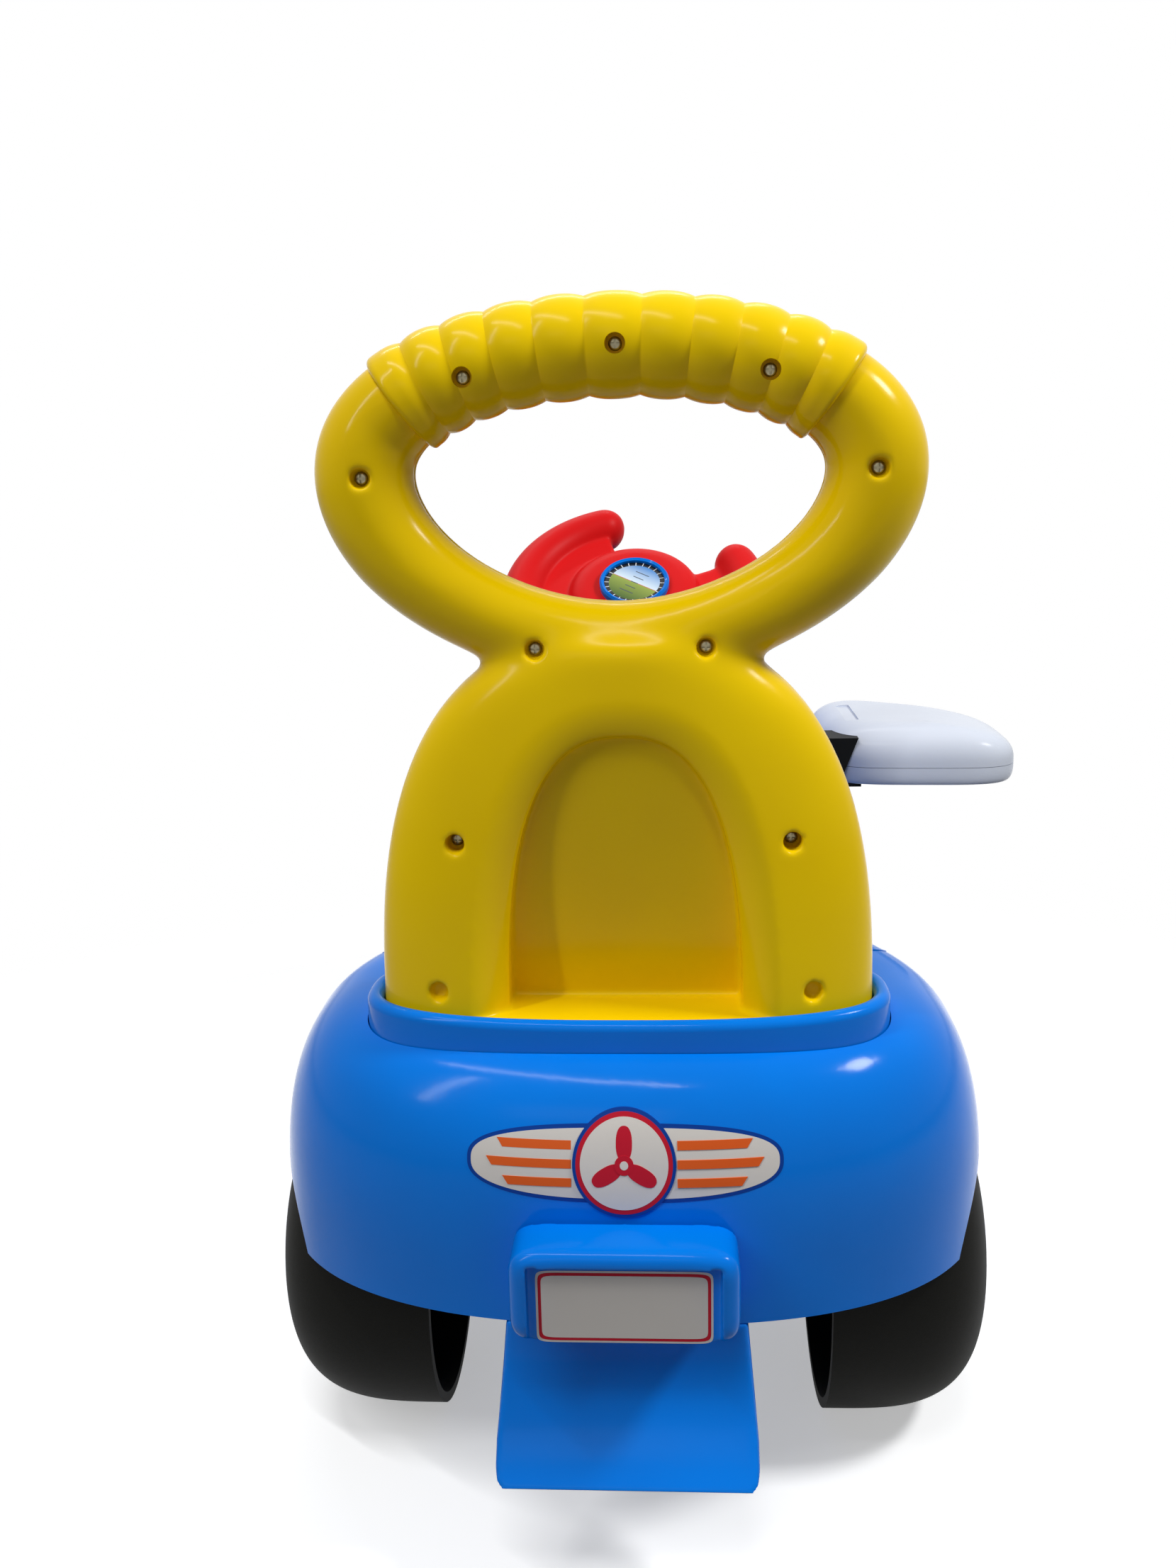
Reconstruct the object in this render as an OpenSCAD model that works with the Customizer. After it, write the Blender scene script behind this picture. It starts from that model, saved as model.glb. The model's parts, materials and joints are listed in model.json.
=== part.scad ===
// A foot-to-floor ride-on aeroplane for a toddler, with a push handle above its backrest.
// Millimetres: X to the right, Y forward, Z up.
// The origin is on the floor, below the middle of the rear axle.

/* [Body] */
// Half width of the body over the rear wheels
rear_half_w = 144.5; // [142:0.5:147]
// Length of the body behind the rear axle
rear_len = 105.5; // [104:0.5:108]
// Half width of the waist that the legs straddle
waist_half_w = 84; // [80:1:88]
// Half width of the front body
nose_half_w = 97; // [90:1:104]
// Length of the rounded nose
nose_len = 100; // [96:1:104]
// Where the rear body begins to narrow
shoulder_y = 8; // [4:1:12]
// Where the waist begins
waist_y = 150; // [146:1:154]
// Where the waist ends
saddle_y = 195; // [190:1:200]
// Where the nose begins to close
nose_side_y = 335; // [330:1:340]
// Height of the lower rim
rim_z = 94; // [93:0.5:95]
// Height at which the sides begin to round over
round_z = 111; // [108:1:114]
// Height of the rear deck
deck_z = 190; // [188:0.5:192]
// How far the sides come in at the deck
round_in = 44; // [40:1:46]
// Wall of the body mouldings
wall = 3; // [2.5:0.1:3.5]

/* [Seat and storage] */
// Rear edge of the seat lid
seat_rear_y = 16; // [15.5:0.1:17]
// Front edge of the seat lid
seat_front_y = 168; // [164:1:172]
// Height of the seam below the seat lid
seat_seam_z = 179; // [177:0.5:180]
// Height of the seat
seat_top_z = 191.5; // [190.5:0.1:192]
// Length of the lid's rear corners
seat_corner = 34; // [32:1:40]
// How far the lid comes in at its top
seat_round = 20; // [16:1:21]
// Half width of the storage bin
bin_half_w = 58; // [50:1:60]
// Rear wall of the storage bin
bin_rear_y = 34; // [32:1:40]
// Front wall of the storage bin
bin_front_y = 146; // [138:1:148]
// Distance of the floor screws from the bin's walls
bin_screw_in = 12; // [10:1:14]
// Floor of the storage bin
bin_floor_z = 110; // [108:1:125]
// Leaf of the seat hinge
leaf_t = 1.5; // [1.2:0.1:1.8]
// Radius of the seat hinge knuckles
knuckle_r = 4.5; // [4:0.1:4.8]
// Half width of the middle knuckle
knuckle_half_w = 25; // [20:1:30]
// Width of each outer knuckle
knuckle_side_w = 18; // [14:1:22]

/* [Cowl] */
// Dashboard face
cowl_rear_y = 226; // [224:1:228]
// Seam between the cowl and the lower body
cowl_seam_z = 128; // [124:1:132]
// Height at which the cowl begins to round over
cowl_round_z = 205; // [204:1:208]
// Top of the cowl
cowl_top_z = 285; // [280:1:288]
// How far the cowl comes in at its top
cowl_round_in = 46; // [40:1:46]
// Length of the dashboard's round corners
cowl_corner = 56; // [54:1:60]

/* [Backrest] */
// Plane in which the two backrest shells meet
back_y = -36; // [-37:0.5:-35]
// Half width at the seat
back_half_w = 95.5; // [94:0.5:97]
// Height at which the backrest begins to close
back_base_z = 196; // [195:0.5:198]
// Height of the closing curve above that
back_rise = 144.6; // [142:0.2:147]
// Half depth at the seat
back_half_d = 34; // [33:0.5:34.5]
// Half depth at the neck
back_top_d = 20; // [18:0.5:22]
// Foot of the backrest, inside the deck
back_foot_z = 176; // [174:1:178]
// Wall of the backrest shells
shell_t = 2.8; // [2.4:0.1:3.2]
// Half width of the niche
niche_half_w = 44.5; // [42:0.5:46]
// Height of the niche
niche_rise = 106; // [100:1:108]
// Back wall of the niche, at its ledge
niche_back_y = -40; // [-42:0.5:-39.5]
// Lean of the niche's back wall
niche_tilt = 7; // [5:0.5:8]
// Flare of the niche's rim
niche_lip = 10; // [6:0.5:12]

/* [Push handle] */
// Height of the ring's middle
ring_z = 396; // [394:0.5:398]
// Half width of the ring, to the middle of its tube
ring_half_w = 93; // [90:0.5:95]
// Rise of the ring above that, to the middle of its tube
ring_up = 44.5; // [43:0.5:46]
// Drop of the ring below it
ring_down = 62; // [60:0.5:64]
// Radius of the tube
tube_r = 16; // [15:0.2:17]
// How much thicker the tube is at its sides
tube_swell = 2.4; // [1:0.2:3]
// Lobes of the grip
rib_count = 11; // [9:1:13]
// Height of the grip's lobes above the tube
rib_proud = 2.6; // [1.6:0.1:3.2]
// Height of the grip's valleys above the tube
rib_valley = 0.8; // [0.4:0.1:1.2]
// Where the grip begins, round the ring
rib_from = 34; // [30:1:38]
// Where the grip ends
rib_to = 147; // [142:1:150]
// Angle over which the grip's end shoulders rise
rib_shoulder = 0.6; // [0.4:0.1:1]

/* [Collar] */
// Thickness of the collar round the backrest
collar_t = 7; // [6:0.2:7.6]
// Lower edge of the collar
collar_low_z = 182; // [180:1:184]
// Top of the collar
collar_top_z = 199; // [197:0.5:200]

/* [Tail] */
// Half width of the plate block
block_half_w = 40.5; // [39:0.5:42]
// Lower edge of the plate block
block_low_z = 98; // [97:0.5:100]
// Upper edge of the plate block
block_top_z = 135; // [133:0.5:138]
// Rear face of the plate block
block_rear_y = -126; // [-128:0.5:-124]
// Rounding of the plate block's rear edges
block_round = 5; // [3:0.5:6]
// Half width of the plate recess
plate_half_w = 34; // [31:0.5:35]
// Top of the plate recess
plate_top_z = 129; // [126:0.5:130]
// Depth of the plate recess
plate_depth = 4; // [3:0.5:5]
// Width of the tail foot
foot_w = 94; // [90:1:96]
// Rear face of the tail foot, at the body
foot_y = -104; // [-105:0.5:-103]
// Flare of the tail foot
foot_flare = 26; // [22:1:28]
// Lowest point of the tail foot
foot_low_z = 43; // [40:1:48]
// Thickness of the tail foot
foot_t = 10; // [8:0.5:11]
// Front end of the tail foot's flange
foot_flange_y = -62; // [-70:1:-58]
// Thickness of the tail foot's flange
foot_flange_t = 5; // [4:0.5:6]
// Radius of the tail foot's lower corners
foot_corner = 9; // [6:1:12]

/* [Rear wheels] */
// Radius of the rear wheels
wheel_r = 71; // [70:0.5:72]
// Inner face of the rear wheels
wheel_in_x = 79; // [78:0.5:80]
// Width of a rear wheel
wheel_w = 68; // [67:0.5:69]
// Skin of the rear wheels
wheel_skin = 4; // [3:0.2:5]
// Radius of the wheel hub
hub_r = 15; // [13:0.5:17]
// Radius of the hub cap's seat
cap_r = 22; // [20:0.5:24]
// Depth of the hub cap's seat
cap_depth = 6; // [5:0.5:7]
// Height of the hub cap's dome
cap_dome = 3; // [2.5:0.1:3.2]
// Radius of the rear axle
axle_r = 5; // [4.5:0.1:5.5]
// Width of the axle saddles
saddle_w = 14; // [12:1:15]
// How far a wheel is tucked into its arch
arch_tuck = 7; // [5:0.5:9]
// Room round a wheel, in the floor pan
wheel_room = 8; // [6:0.5:10]

/* [Casters] */
// Distance of a caster's stem from the middle
caster_x = 70; // [68:0.5:74]
// Place of the caster stems along the body
caster_y = 325; // [320:1:330]
// Trail of the casters
caster_trail = 20; // [16:1:22]
// Radius of the caster wheels
caster_r = 40; // [38:0.5:41]
// Width of a caster wheel
caster_w = 28; // [24:1:30]
// Thickness of the fork
fork_t = 4; // [3.5:0.1:5]
// Radius of the caster stems
stem_r = 4; // [3.5:0.1:4.5]
// Height of the caster sockets above the floor pan
socket_h = 36; // [30:1:40]
// Radius of the caster sockets
socket_r = 10; // [9:0.5:12]
// Radius of the caster axles
caster_axle_r = 3; // [2.5:0.1:3.5]

/* [Yoke] */
// Place of the yoke's hub along the body
yoke_y = 212; // [210:1:214]
// Height of the yoke's hub
yoke_z = 327; // [325:1:330]
// Lean of the column from upright
yoke_lean = 36; // [34:0.5:37]
// Turn of the yoke to the right, as it stands
yoke_turn = 24; // [0:1:40]
// Radius of the yoke, to the middle of its rim
yoke_r = 60; // [58:0.5:62]
// Radius of the rim's tube
rim_tube_r = 10; // [9:0.2:11]
// Opening at the top of the yoke
yoke_gap = 80; // [70:1:90]
// Radius of the hub
yoke_hub_r = 35; // [33:0.5:37]
// Height of the hub above the rim's middle
yoke_hub_h = 10; // [8:0.5:12]
// Depth of the hub behind the rim's middle
yoke_back_h = 16; // [14:0.5:18]
// Half thickness of the web
yoke_web = 4; // [3:0.5:5]
// Radius of the dial's bezel
bezel_r = 18.8; // [18:0.2:20]
// Height of the bezel
bezel_h = 4; // [3:0.2:5]
// Width of the bezel
bezel_w = 2.4; // [2:0.1:3]
// Thickness of the dial
dial_t = 1.6; // [1.2:0.1:2]
// Radius of the steering column
column_r = 5; // [4.5:0.1:5.5]
// Length of the column behind the hub's middle
column_len = 150; // [140:1:155]
// Radius of the column's bush
bush_r = 12; // [11:0.5:13]
// Upper end of the bush, behind the hub's middle
bush_from = 40; // [36:1:44]
// Lower end of the bush
bush_to = 104; // [100:1:108]

/* [Propeller] */
// Height of the propeller's shaft
prop_z = 185; // [183:1:187]
// Radius of the nose bearing
nose_r = 38; // [36:0.5:39]
// How far the nose bearing stands out
nose_out = 12; // [10:1:14]
// How far the nose bearing reaches in
nose_in = 34; // [30:1:38]
// Radius of the propeller
prop_r = 64; // [60:1:66]
// Number of blades
blade_count = 3; // [2:1:4]
// Half width of a blade
blade_half_w = 13; // [11:0.5:14]
// Thickness of a blade
blade_t = 4; // [3:0.2:5]
// Pitch of a blade
blade_pitch = 18; // [12:1:24]
// Radius of the propeller's hub
prop_hub_r = 15; // [14:0.5:17]
// Length of the propeller's hub
prop_hub_h = 12; // [11:0.5:13]
// Length of the spinner
spinner_h = 22; // [18:1:26]
// Radius of the propeller's shaft
shaft_r = 4; // [3.5:0.1:4.5]

/* [Wings] */
// Hinge of a wing, from the side of the front body
hinge_out = 6; // [5.5:0.1:6.5]
// Hinge of a wing, above its underside
hinge_up = 2; // [1.8:0.1:2.2]
// Root of a wing, from its hinge
root_out = 6.5; // [6:0.1:7]
// Span of a wing
wing_span = 116.5; // [110:0.5:120]
// Middle of a wing along the body
wing_y = 318; // [316:1:320]
// Half chord at the middle of a wing
wing_half_chord = 56; // [54:0.5:58]
// Taper of a wing, as a share of its half chord
wing_taper_share = 0.2; // [0.15:0.01:0.25]
// Sweep of a wing, from its middle to its tip
wing_sweep = 14; // [12:1:16]
// Underside of a wing
wing_low_z = 209; // [206:0.5:212]
// Seam of a wing
wing_seam_z = 219.5; // [218:0.5:221]
// Top of a wing
wing_top_z = 243; // [240:0.5:245]
// Wall of the wing mouldings
wing_wall = 2.2; // [2:0.1:2.6]
// Fold of the left wing, as it stands
left_fold = 88; // [80:1:89]
// Length of the root fitting, at its top
fitting_len = 21; // [18:0.5:22]
// How much shorter the fitting is at its foot
fitting_slant = 11; // [8:0.5:12]
// Top of the fitting, below the top of the wing
fitting_drop = 6; // [5:0.5:7]
// Front end of the root fitting
fitting_front_y = 294; // [293:0.2:294.4]
// Rear end of the hinge pin, from the wing's rear edge
pin_inset = 6; // [5:0.5:7]
// Radius of the hinge pin
pin_r = 2; // [1.8:0.1:2.2]
// Radius of the hinge lugs
lug_r = 5; // [4.6:0.1:5]
// Height of the plate that links the hinge lugs
link_h = 6; // [5:0.5:7]
// Width of the groove on top of a wing
slot_w = 8; // [6:0.5:9]
// Length of the groove
slot_len = 52; // [48:1:56]
// Distance of the groove from the fitting
slot_gap = 4; // [3:0.5:5]

/* [Fasteners] */
// Radius of a screw's shank
screw_r = 1.75; // [1.6:0.05:1.9]
// Radius of a screw's head
head_r = 3.6; // [3.4:0.1:3.8]
// Height of a screw's head
head_h = 2.4; // [2:0.1:2.8]
// Reach of a backrest screw past the seam
screw_reach = 12; // [10:0.5:13]
// Radius of the counterbores
counterbore_r = 4.2; // [4:0.1:4.5]
// Radius of the screw bosses
boss_r = 6.5; // [6:0.1:7]
// Floor under a screw's head
boss_floor = 4; // [3:0.5:5]
// Floor of the blind holes, behind the seam
blind_floor = 16; // [12:0.5:18]
// Width of the cross in a screw's head
cross_w = 0.9; // [0.7:0.1:1.1]

/* [Fits] */
// Gap between a shaft and its bore
run_gap = 0.05; // [0.03:0.01:0.08]
// Gap between mouldings
fit_gap = 0.4; // [0.3:0.05:0.5]
// Gap between pieces that turn past each other
turn_gap = 1; // [0.8:0.1:1.2]
// How far a cut runs past a face
overrun = 6; // [4:1:8]
// How far the backrest's hollow runs past the seam
seam_past = 8; // [6:1:10]

/* [Hidden] */
$fn = 32;

body_blue = "#0a6fce";
shell_yellow = "#e2bf06";
yoke_red = "#d9191f";
wing_white = "#e4e8f0";
tyre_black = "#171816";
steel_grey = "#b9bcc0";

// Exponents of the rounded outlines, and how finely they are drawn
plan_n = 2.45;
round_n = 2.5;
corner_n = 3;
back_n = 2.5;
back_plan_n = 2.6;
block_n = 6;
wing_n = 4;
ring_up_n = 2.14;
ring_down_n = 1.85;
swell_n = 4;
wheel_n = 2.7;
arc_steps = 8;
flank_steps = 12;
seat_flank_steps = 8;
ring_steps = 26;
tube_steps = 7;
wing_steps = 32;
round_shares = [0, 0.4, 0.66, 0.85, 0.96, 1];
// Rise of a grip lobe along its length
lobe_shares = [[0, 0], [0.2, 0.75], [0.5, 1], [0.8, 0.75]];
back_shares = [0.97, 0.93, 0.87, 0.78, 0.66, 0.5, 0.32, 0.15, 0];
wheel_shares = [0, 0.2, 0.38, 0.54, 0.68, 0.8, 0.89, 0.95];
wheel_hollow_shares = [0.78, 0.62, 0.42, 0.2, 0];
foot_shares = [0, 0.15, 0.3, 0.45, 0.6, 0.75, 0.9, 1];
// Dome of a hub cap, edge of the yoke's hub and section of the bezel
dome_shares = [[1, 0], [0.8, 0.6], [0.5, 0.9], [0, 1]];
hub_edge_shares = [[0, 0.5], [0.25, 0.8], [1, 1]];
bezel_shares = [[0, 0], [1, 0], [1, 0.7], [0.6, 1], [0, 0.8]];
// Section of the collar, across it and down from its top
collar_shares = [[0.25, 0.125], [0.5, 0], [0.75, 0.125]];
// Rounded rear edge of the plate block, inward and forward
block_edge_shares = [[1, 0], [0.25, 0.33], [0, 1]];
// Eye of a caster fork beside its axle, and the wing fitting's leaf beside the seat's
fork_eye_share = 2.5;
wing_leaf_share = 1.5;
// How much more the cowl comes in at the nose than at its sides
nose_round_share = 1.9;
// Length of the seat lid's front corners, beside its rear ones
seat_front_share = 0.8;
// Lower lip of the lid and of the cowl, before they round over
lip_h = 1.5;
turn = 360;

far = 2 * nose_side_y;
lid_low_z = seat_seam_z + wall;
pan_t = wall + leaf_t;
axle_len = 2 * (wheel_in_x + wheel_w - cap_depth + head_h);
nut_x = wheel_in_x + wheel_w - cap_depth + fit_gap;
leaf_y = seat_rear_y - knuckle_r;
leaf_z = deck_z + leaf_t + knuckle_r + fit_gap;
pan_x = wheel_in_x - wheel_room;
arch_r = wheel_r - arch_tuck;
post_r = boss_r + wall;
fork_top_z = 2 * caster_r + 2 * fork_t + turn_gap;
cheek_x = caster_w / 2 + turn_gap;
hinge_x = nose_half_w + hinge_out;
hinge_z = wing_low_z + hinge_up;
wing_root_x = hinge_x + root_out;
wing_half_span = wing_span / 2;
wing_mid_x = wing_root_x + wing_half_span;
wing_rear_y = wing_y + wing_sweep - wing_half_chord * (1 + wing_taper_share);
fitting_out_x = wing_root_x + fitting_len;
fitting_top_z = wing_top_z - fitting_drop;
nose_front_y = nose_side_y + nose_len + nose_out;
pin_from_y = wing_rear_y + pin_inset;
pin_len = 2 * wing_half_chord;
lug_w = pin_len / 5;
bin_screw_x = bin_half_w - bin_screw_in;
dial_r = bezel_r - bezel_w - fit_gap / 4;

// Screws of the handle as shares of the ring's half width and rise, and of the backrest as shares of its own
grip_screw_shares = [[0, 0.985], [0.576, 0.76], [-0.576, 0.76], [0.985, 0], [-0.985, 0]];
back_screw_shares = [[0.326, 0.953], [-0.326, 0.953], [0.654, 0.46], [-0.654, 0.46]];
blind_hole_shares = [[0.737, 0.066], [-0.737, 0.066]];

// Outlines
function ease(u) = let (c = max(0, min(1, u))) c * c * (3 - 2 * c);
function super_x(t, n) = sign(sin(t)) * pow(abs(sin(t)), 2 / n);
function super_y(t, n) = -sign(cos(t)) * pow(abs(cos(t)), 2 / n);
function super_loop(a, b, n, y0, steps) =
    [for (k = [0 : steps - 1]) let (t = turn * k / steps) [a * super_x(t, n), y0 + b * super_y(t, n)]];
function quarter(a, b, n, t0, y0) =
    [for (k = [0 : arc_steps]) let (t = t0 + 90 * k / arc_steps) [a * super_x(t, n), y0 + b * super_y(t, n)]];
function mirrored(half) = concat(half, [for (k = [len(half) - 2 : -1 : 1]) [-half[k][0], half[k][1]]]);
function flat_ended(half) = concat(half, [for (k = [len(half) - 1 : -1 : 1]) [-half[k][0], half[k][1]]]);
function at_z(outline, z) = [for (p = outline) [p[0], p[1], z]];
function side_w(y) = rear_half_w
    - (rear_half_w - waist_half_w) * ease((y - shoulder_y) / (waist_y - shoulder_y))
    + (nose_half_w - waist_half_w) * ease((y - saddle_y) / (nose_side_y - saddle_y));
function flank(y1, y2, i, steps) =
    [for (k = [1 : steps - 1]) let (y = y1 + (y2 - y1) * k / steps) [side_w(y) - i, y]];
function body_outline(i) = mirrored(concat(
    quarter(rear_half_w - i, rear_len - i, plan_n, 0, 0),
    flank(0, nose_side_y, i, flank_steps),
    quarter(nose_half_w - i, nose_len - i, plan_n, 90, nose_side_y)));
function seat_outline(side_in, i, g) = let (
        front_corner = seat_corner * seat_front_share,
        y1 = seat_rear_y - g + seat_corner,
        y2 = seat_front_y + g - front_corner)
    mirrored(concat(quarter(side_w(y1) - side_in - i, seat_corner - i, corner_n, 0, y1),
        flank(y1, y2, side_in + i, seat_flank_steps),
        quarter(side_w(y2) - side_in - i, front_corner - i, corner_n, 90, y2)));
function cowl_outline(i) = let (y1 = cowl_rear_y + cowl_corner)
    mirrored(concat(quarter(side_w(y1) - i, cowl_corner - i, corner_n, 0, y1),
        flank(y1, nose_side_y, i, seat_flank_steps),
        quarter(nose_half_w - i, nose_len - nose_round_share * i, plan_n, 90, nose_side_y)));
function wing_outline(i) = [for (k = [0 : wing_steps - 1]) let (
        t = turn * k / wing_steps,
        u = super_x(t, wing_n),
        chord = wing_half_chord * (1 - wing_taper_share * u) - i)
    [wing_mid_x + (wing_half_span - i) * u, wing_y - wing_sweep * u + chord * super_y(t, wing_n)]];
function collar_outline(i) = super_loop(back_half_w + i, back_half_d + i, back_plan_n, back_y, 4 * arc_steps);

// How far a rounded edge has come in at a share of its height
function round_share(s) = 1 - pow(1 - pow(s, round_n), 1 / round_n);
function body_in(z) = round_in * round_share(max(0, (z - round_z) / (deck_z - round_z)));

// Rings of a closed solid and of an open cup, from the top down, rounded between z1 and z2
function slab_rings(outline, z0, z1, z2, inset) = concat(
    [for (k = [len(round_shares) - 1 : -1 : 0])
        at_z(outline(inset * round_share(round_shares[k])), z1 + (z2 - z1) * round_shares[k])],
    [at_z(outline(0), z0)]);
function cup_rings(outline, z0, z1, z2, inset, w) = concat(
    slab_rings(outline, z0, z1, z2, inset),
    [at_z(outline(w), z0)],
    [for (s = round_shares) at_z(outline(w + inset * round_share(s)), z1 + (z2 - z1) * s - w * s)]);

function cap_faces(base, n, up) = [for (i = [0 : floor(n / 2) - 1]) let (
        r0 = base + i, r1 = base + i + 1, l0 = base + (n - i) % n, l1 = base + n - i - 1)
    each concat(i > 0 ? [up ? [r0, l0, l1] : [r0, l1, l0]] : [],
        2 * i + 2 < n ? [up ? [r0, l1, r1] : [r0, r1, l1]] : [])];
function wall_faces(n, from, to, m) = [for (j = [from : to], i = [0 : n - 1]) let (
        a = j * n + i, b = j * n + (i + 1) % n, c = (a + n) % (m * n), d = (b + n) % (m * n))
    each [[a, b, d], [a, d, c]]];

// A solid through rings that run from its top to its bottom
module loft(rings) {
    n = len(rings[0]);
    m = len(rings);
    polyhedron(points = [for (r = rings) each r],
        faces = concat(wall_faces(n, 0, m - 2, m), cap_faces(0, n, true), cap_faces((m - 1) * n, n, false)));
}

// A solid through rings whose last one meets the first
module loop(rings) {
    m = len(rings);
    polyhedron(points = [for (r = rings) each r], faces = wall_faces(len(rings[0]), 0, m - 1, m));
}

module pair() {
    children();
    mirror([1, 0, 0]) children();
}

module on_side(side) {
    mirror([side < 0 ? 1 : 0, 0, 0]) children();
}

module along_x(x) {
    translate([x, 0, 0]) rotate([0, 90, 0]) children();
}

module along_y(y) {
    translate([0, y, 0]) rotate([-90, 0, 0]) children();
}

// Body
module body_shell() {
    color(body_blue) difference() {
        loft(cup_rings(function (i) body_outline(i), rim_z, round_z, deck_z, round_in, wall));
        translate([0, 0, seat_seam_z])
            linear_extrude(height = deck_z)
                polygon(seat_outline(body_in(seat_seam_z) - fit_gap, 0, fit_gap));
        translate([0, 0, collar_low_z - 2 * overrun])
            linear_extrude(height = deck_z) polygon(collar_outline(collar_t + fit_gap));
        translate([-far / 2, cowl_rear_y - fit_gap, cowl_seam_z]) cube([far, far, far]);
        pair() translate([0, 0, wheel_r]) along_x(wheel_in_x + overrun) cylinder(r = arch_r, h = wheel_w);
    }
}

module floor_pan() {
    saddle_x = pan_x - saddle_w;
    color(body_blue) difference() {
        union() {
            difference() {
                translate([0, 0, rim_z])
                    linear_extrude(height = pan_t) polygon(body_outline(wall + fit_gap));
                pair() translate([pan_x, -wheel_r - wheel_room, 0])
                    cube([far, 2 * wheel_r + 2 * wheel_room, far]);
            }
            pair() translate([saddle_x, -saddle_w, wheel_r - saddle_w])
                cube([saddle_w, 2 * saddle_w, rim_z - wheel_r + saddle_w + wall]);
            pair() translate([caster_x, caster_y, rim_z]) cylinder(r = socket_r, h = socket_h);
            pair() translate([back_half_w / 2, back_y, rim_z])
                cylinder(r = post_r, h = back_foot_z - rim_z);
        }
        pair() translate([0, 0, wheel_r]) along_x(0) cylinder(r = axle_r + run_gap, h = far);
        pair() translate([caster_x, caster_y, 0]) cylinder(r = stem_r + run_gap, h = far);
        floor_screw_places() cylinder(r = screw_r + fit_gap / 2, h = far);
        floor_screw_places() translate([0, 0, -overrun]) cylinder(r = counterbore_r, h = overrun + head_h);
    }
}

module floor_screw_places() {
    pair() for (y = [bin_rear_y + bin_screw_in, bin_front_y - bin_screw_in])
        translate([bin_screw_x, y, rim_z]) children();
}

module floor_screws() {
    color(steel_grey) floor_screw_places() {
        difference() {
            cylinder(r = head_r, h = head_h);
            cross_cut();
        }
        cylinder(r = screw_r, h = bin_floor_z - rim_z);
    }
}

module storage_bin() {
    tub = [2 * bin_half_w, bin_front_y - bin_rear_y];
    color(body_blue) difference() {
        union() {
            translate([0, 0, seat_seam_z])
                linear_extrude(height = wall - fit_gap)
                    polygon(seat_outline(body_in(seat_seam_z) + fit_gap, 0, 0));
            translate([-tub[0] / 2, bin_rear_y, bin_floor_z])
                cube([tub[0], tub[1], seat_seam_z - bin_floor_z]);
            floor_screw_places() translate([0, 0, pan_t])
                cylinder(r = boss_r, h = bin_floor_z - rim_z - pan_t + wall);
        }
        translate([-tub[0] / 2 + wall, bin_rear_y + wall, bin_floor_z + wall])
            cube([tub[0] - 2 * wall, tub[1] - 2 * wall, far]);
        floor_screw_places() cylinder(r = screw_r + run_gap, h = bin_floor_z - rim_z + run_gap);
    }
}

module seat_lid() {
    low_in = body_in(lid_low_z);
    color(body_blue)
        loft(cup_rings(function (i) seat_outline(low_in, i, 0), lid_low_z, lid_low_z + lip_h, seat_top_z,
            seat_round, wall));
}

module seat_leaf_deck() {
    color(steel_grey) difference() {
        union() {
            pair() translate([knuckle_half_w + fit_gap, leaf_y, 0]) {
                translate([0, 0, leaf_z]) along_x(0) cylinder(r = knuckle_r, h = knuckle_side_w);
                translate([0, -leaf_t, deck_z]) cube([knuckle_side_w, 2 * leaf_t, leaf_z - deck_z]);
            }
            translate([-knuckle_half_w - knuckle_side_w, leaf_y - 3 * leaf_t, deck_z])
                cube([2 * knuckle_half_w + 2 * knuckle_side_w, 3 * leaf_t, leaf_t]);
        }
        translate([-far / 2, leaf_y, leaf_z]) rotate([0, 90, 0]) cylinder(r = pin_r + run_gap, h = far);
    }
}

module seat_leaf_lid() {
    color(steel_grey) difference() {
        union() {
            translate([-knuckle_half_w, leaf_y, leaf_z]) rotate([0, 90, 0])
                cylinder(r = knuckle_r, h = 2 * knuckle_half_w);
            translate([-knuckle_half_w, leaf_y, seat_top_z])
                cube([2 * knuckle_half_w, seat_corner, leaf_t]);
        }
        translate([-far / 2, leaf_y, leaf_z]) rotate([0, 90, 0]) cylinder(r = pin_r + run_gap, h = far);
        translate([-knuckle_half_w - overrun, leaf_y, seat_top_z - far]) cube([far, far, far]);
    }
}

module seat_hinge_pin() {
    half = knuckle_half_w + fit_gap + knuckle_side_w;
    color(steel_grey) translate([-half, leaf_y, leaf_z]) rotate([0, 90, 0]) cylinder(r = pin_r, h = 2 * half);
}

module cowl() {
    color(body_blue) difference() {
        loft(cup_rings(function (i) cowl_outline(body_in(cowl_seam_z) + i), cowl_seam_z, cowl_round_z,
            cowl_top_z, cowl_round_in, wall));
        on_column() translate([0, 0, -bush_to - overrun])
            cylinder(r = bush_r + fit_gap, h = bush_to);
        translate([0, 0, prop_z]) along_y(nose_side_y) cylinder(r = nose_r + fit_gap, h = 2 * nose_len);
    }
}

// Backrest and push handle, in two shells that meet in the plane y = back_y
function back_share(z) = max(0, (z - back_base_z) / back_rise);
function back_w(z) = back_half_w * pow(1 - pow(back_share(z), back_n), 1 / back_n);
function back_d(z) = back_half_d - (back_half_d - back_top_d) * back_share(z);

// The ring is an egg on its side: wide and flat above its middle, drawn in towards the neck below it
function ring_h(t) = sin(t) < 0 ? ring_down : ring_up;
function ring_n(t) = sin(t) < 0 ? ring_down_n : ring_up_n;
function power(v, n) = sign(v) * pow(abs(v), n);
function ring_place(t) = let (n = 2 / ring_n(t))
    [ring_half_w * power(cos(t), n), ring_z + ring_h(t) * power(sin(t), n)];
function ring_out(t) = let (n = 2 - 2 / ring_n(t),
    v = [ring_h(t) * power(cos(t), n), ring_half_w * power(sin(t), n)]) v / norm(v);
function ring_r(t) = tube_r + tube_swell * pow(abs(cos(t)), swell_n);

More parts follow.
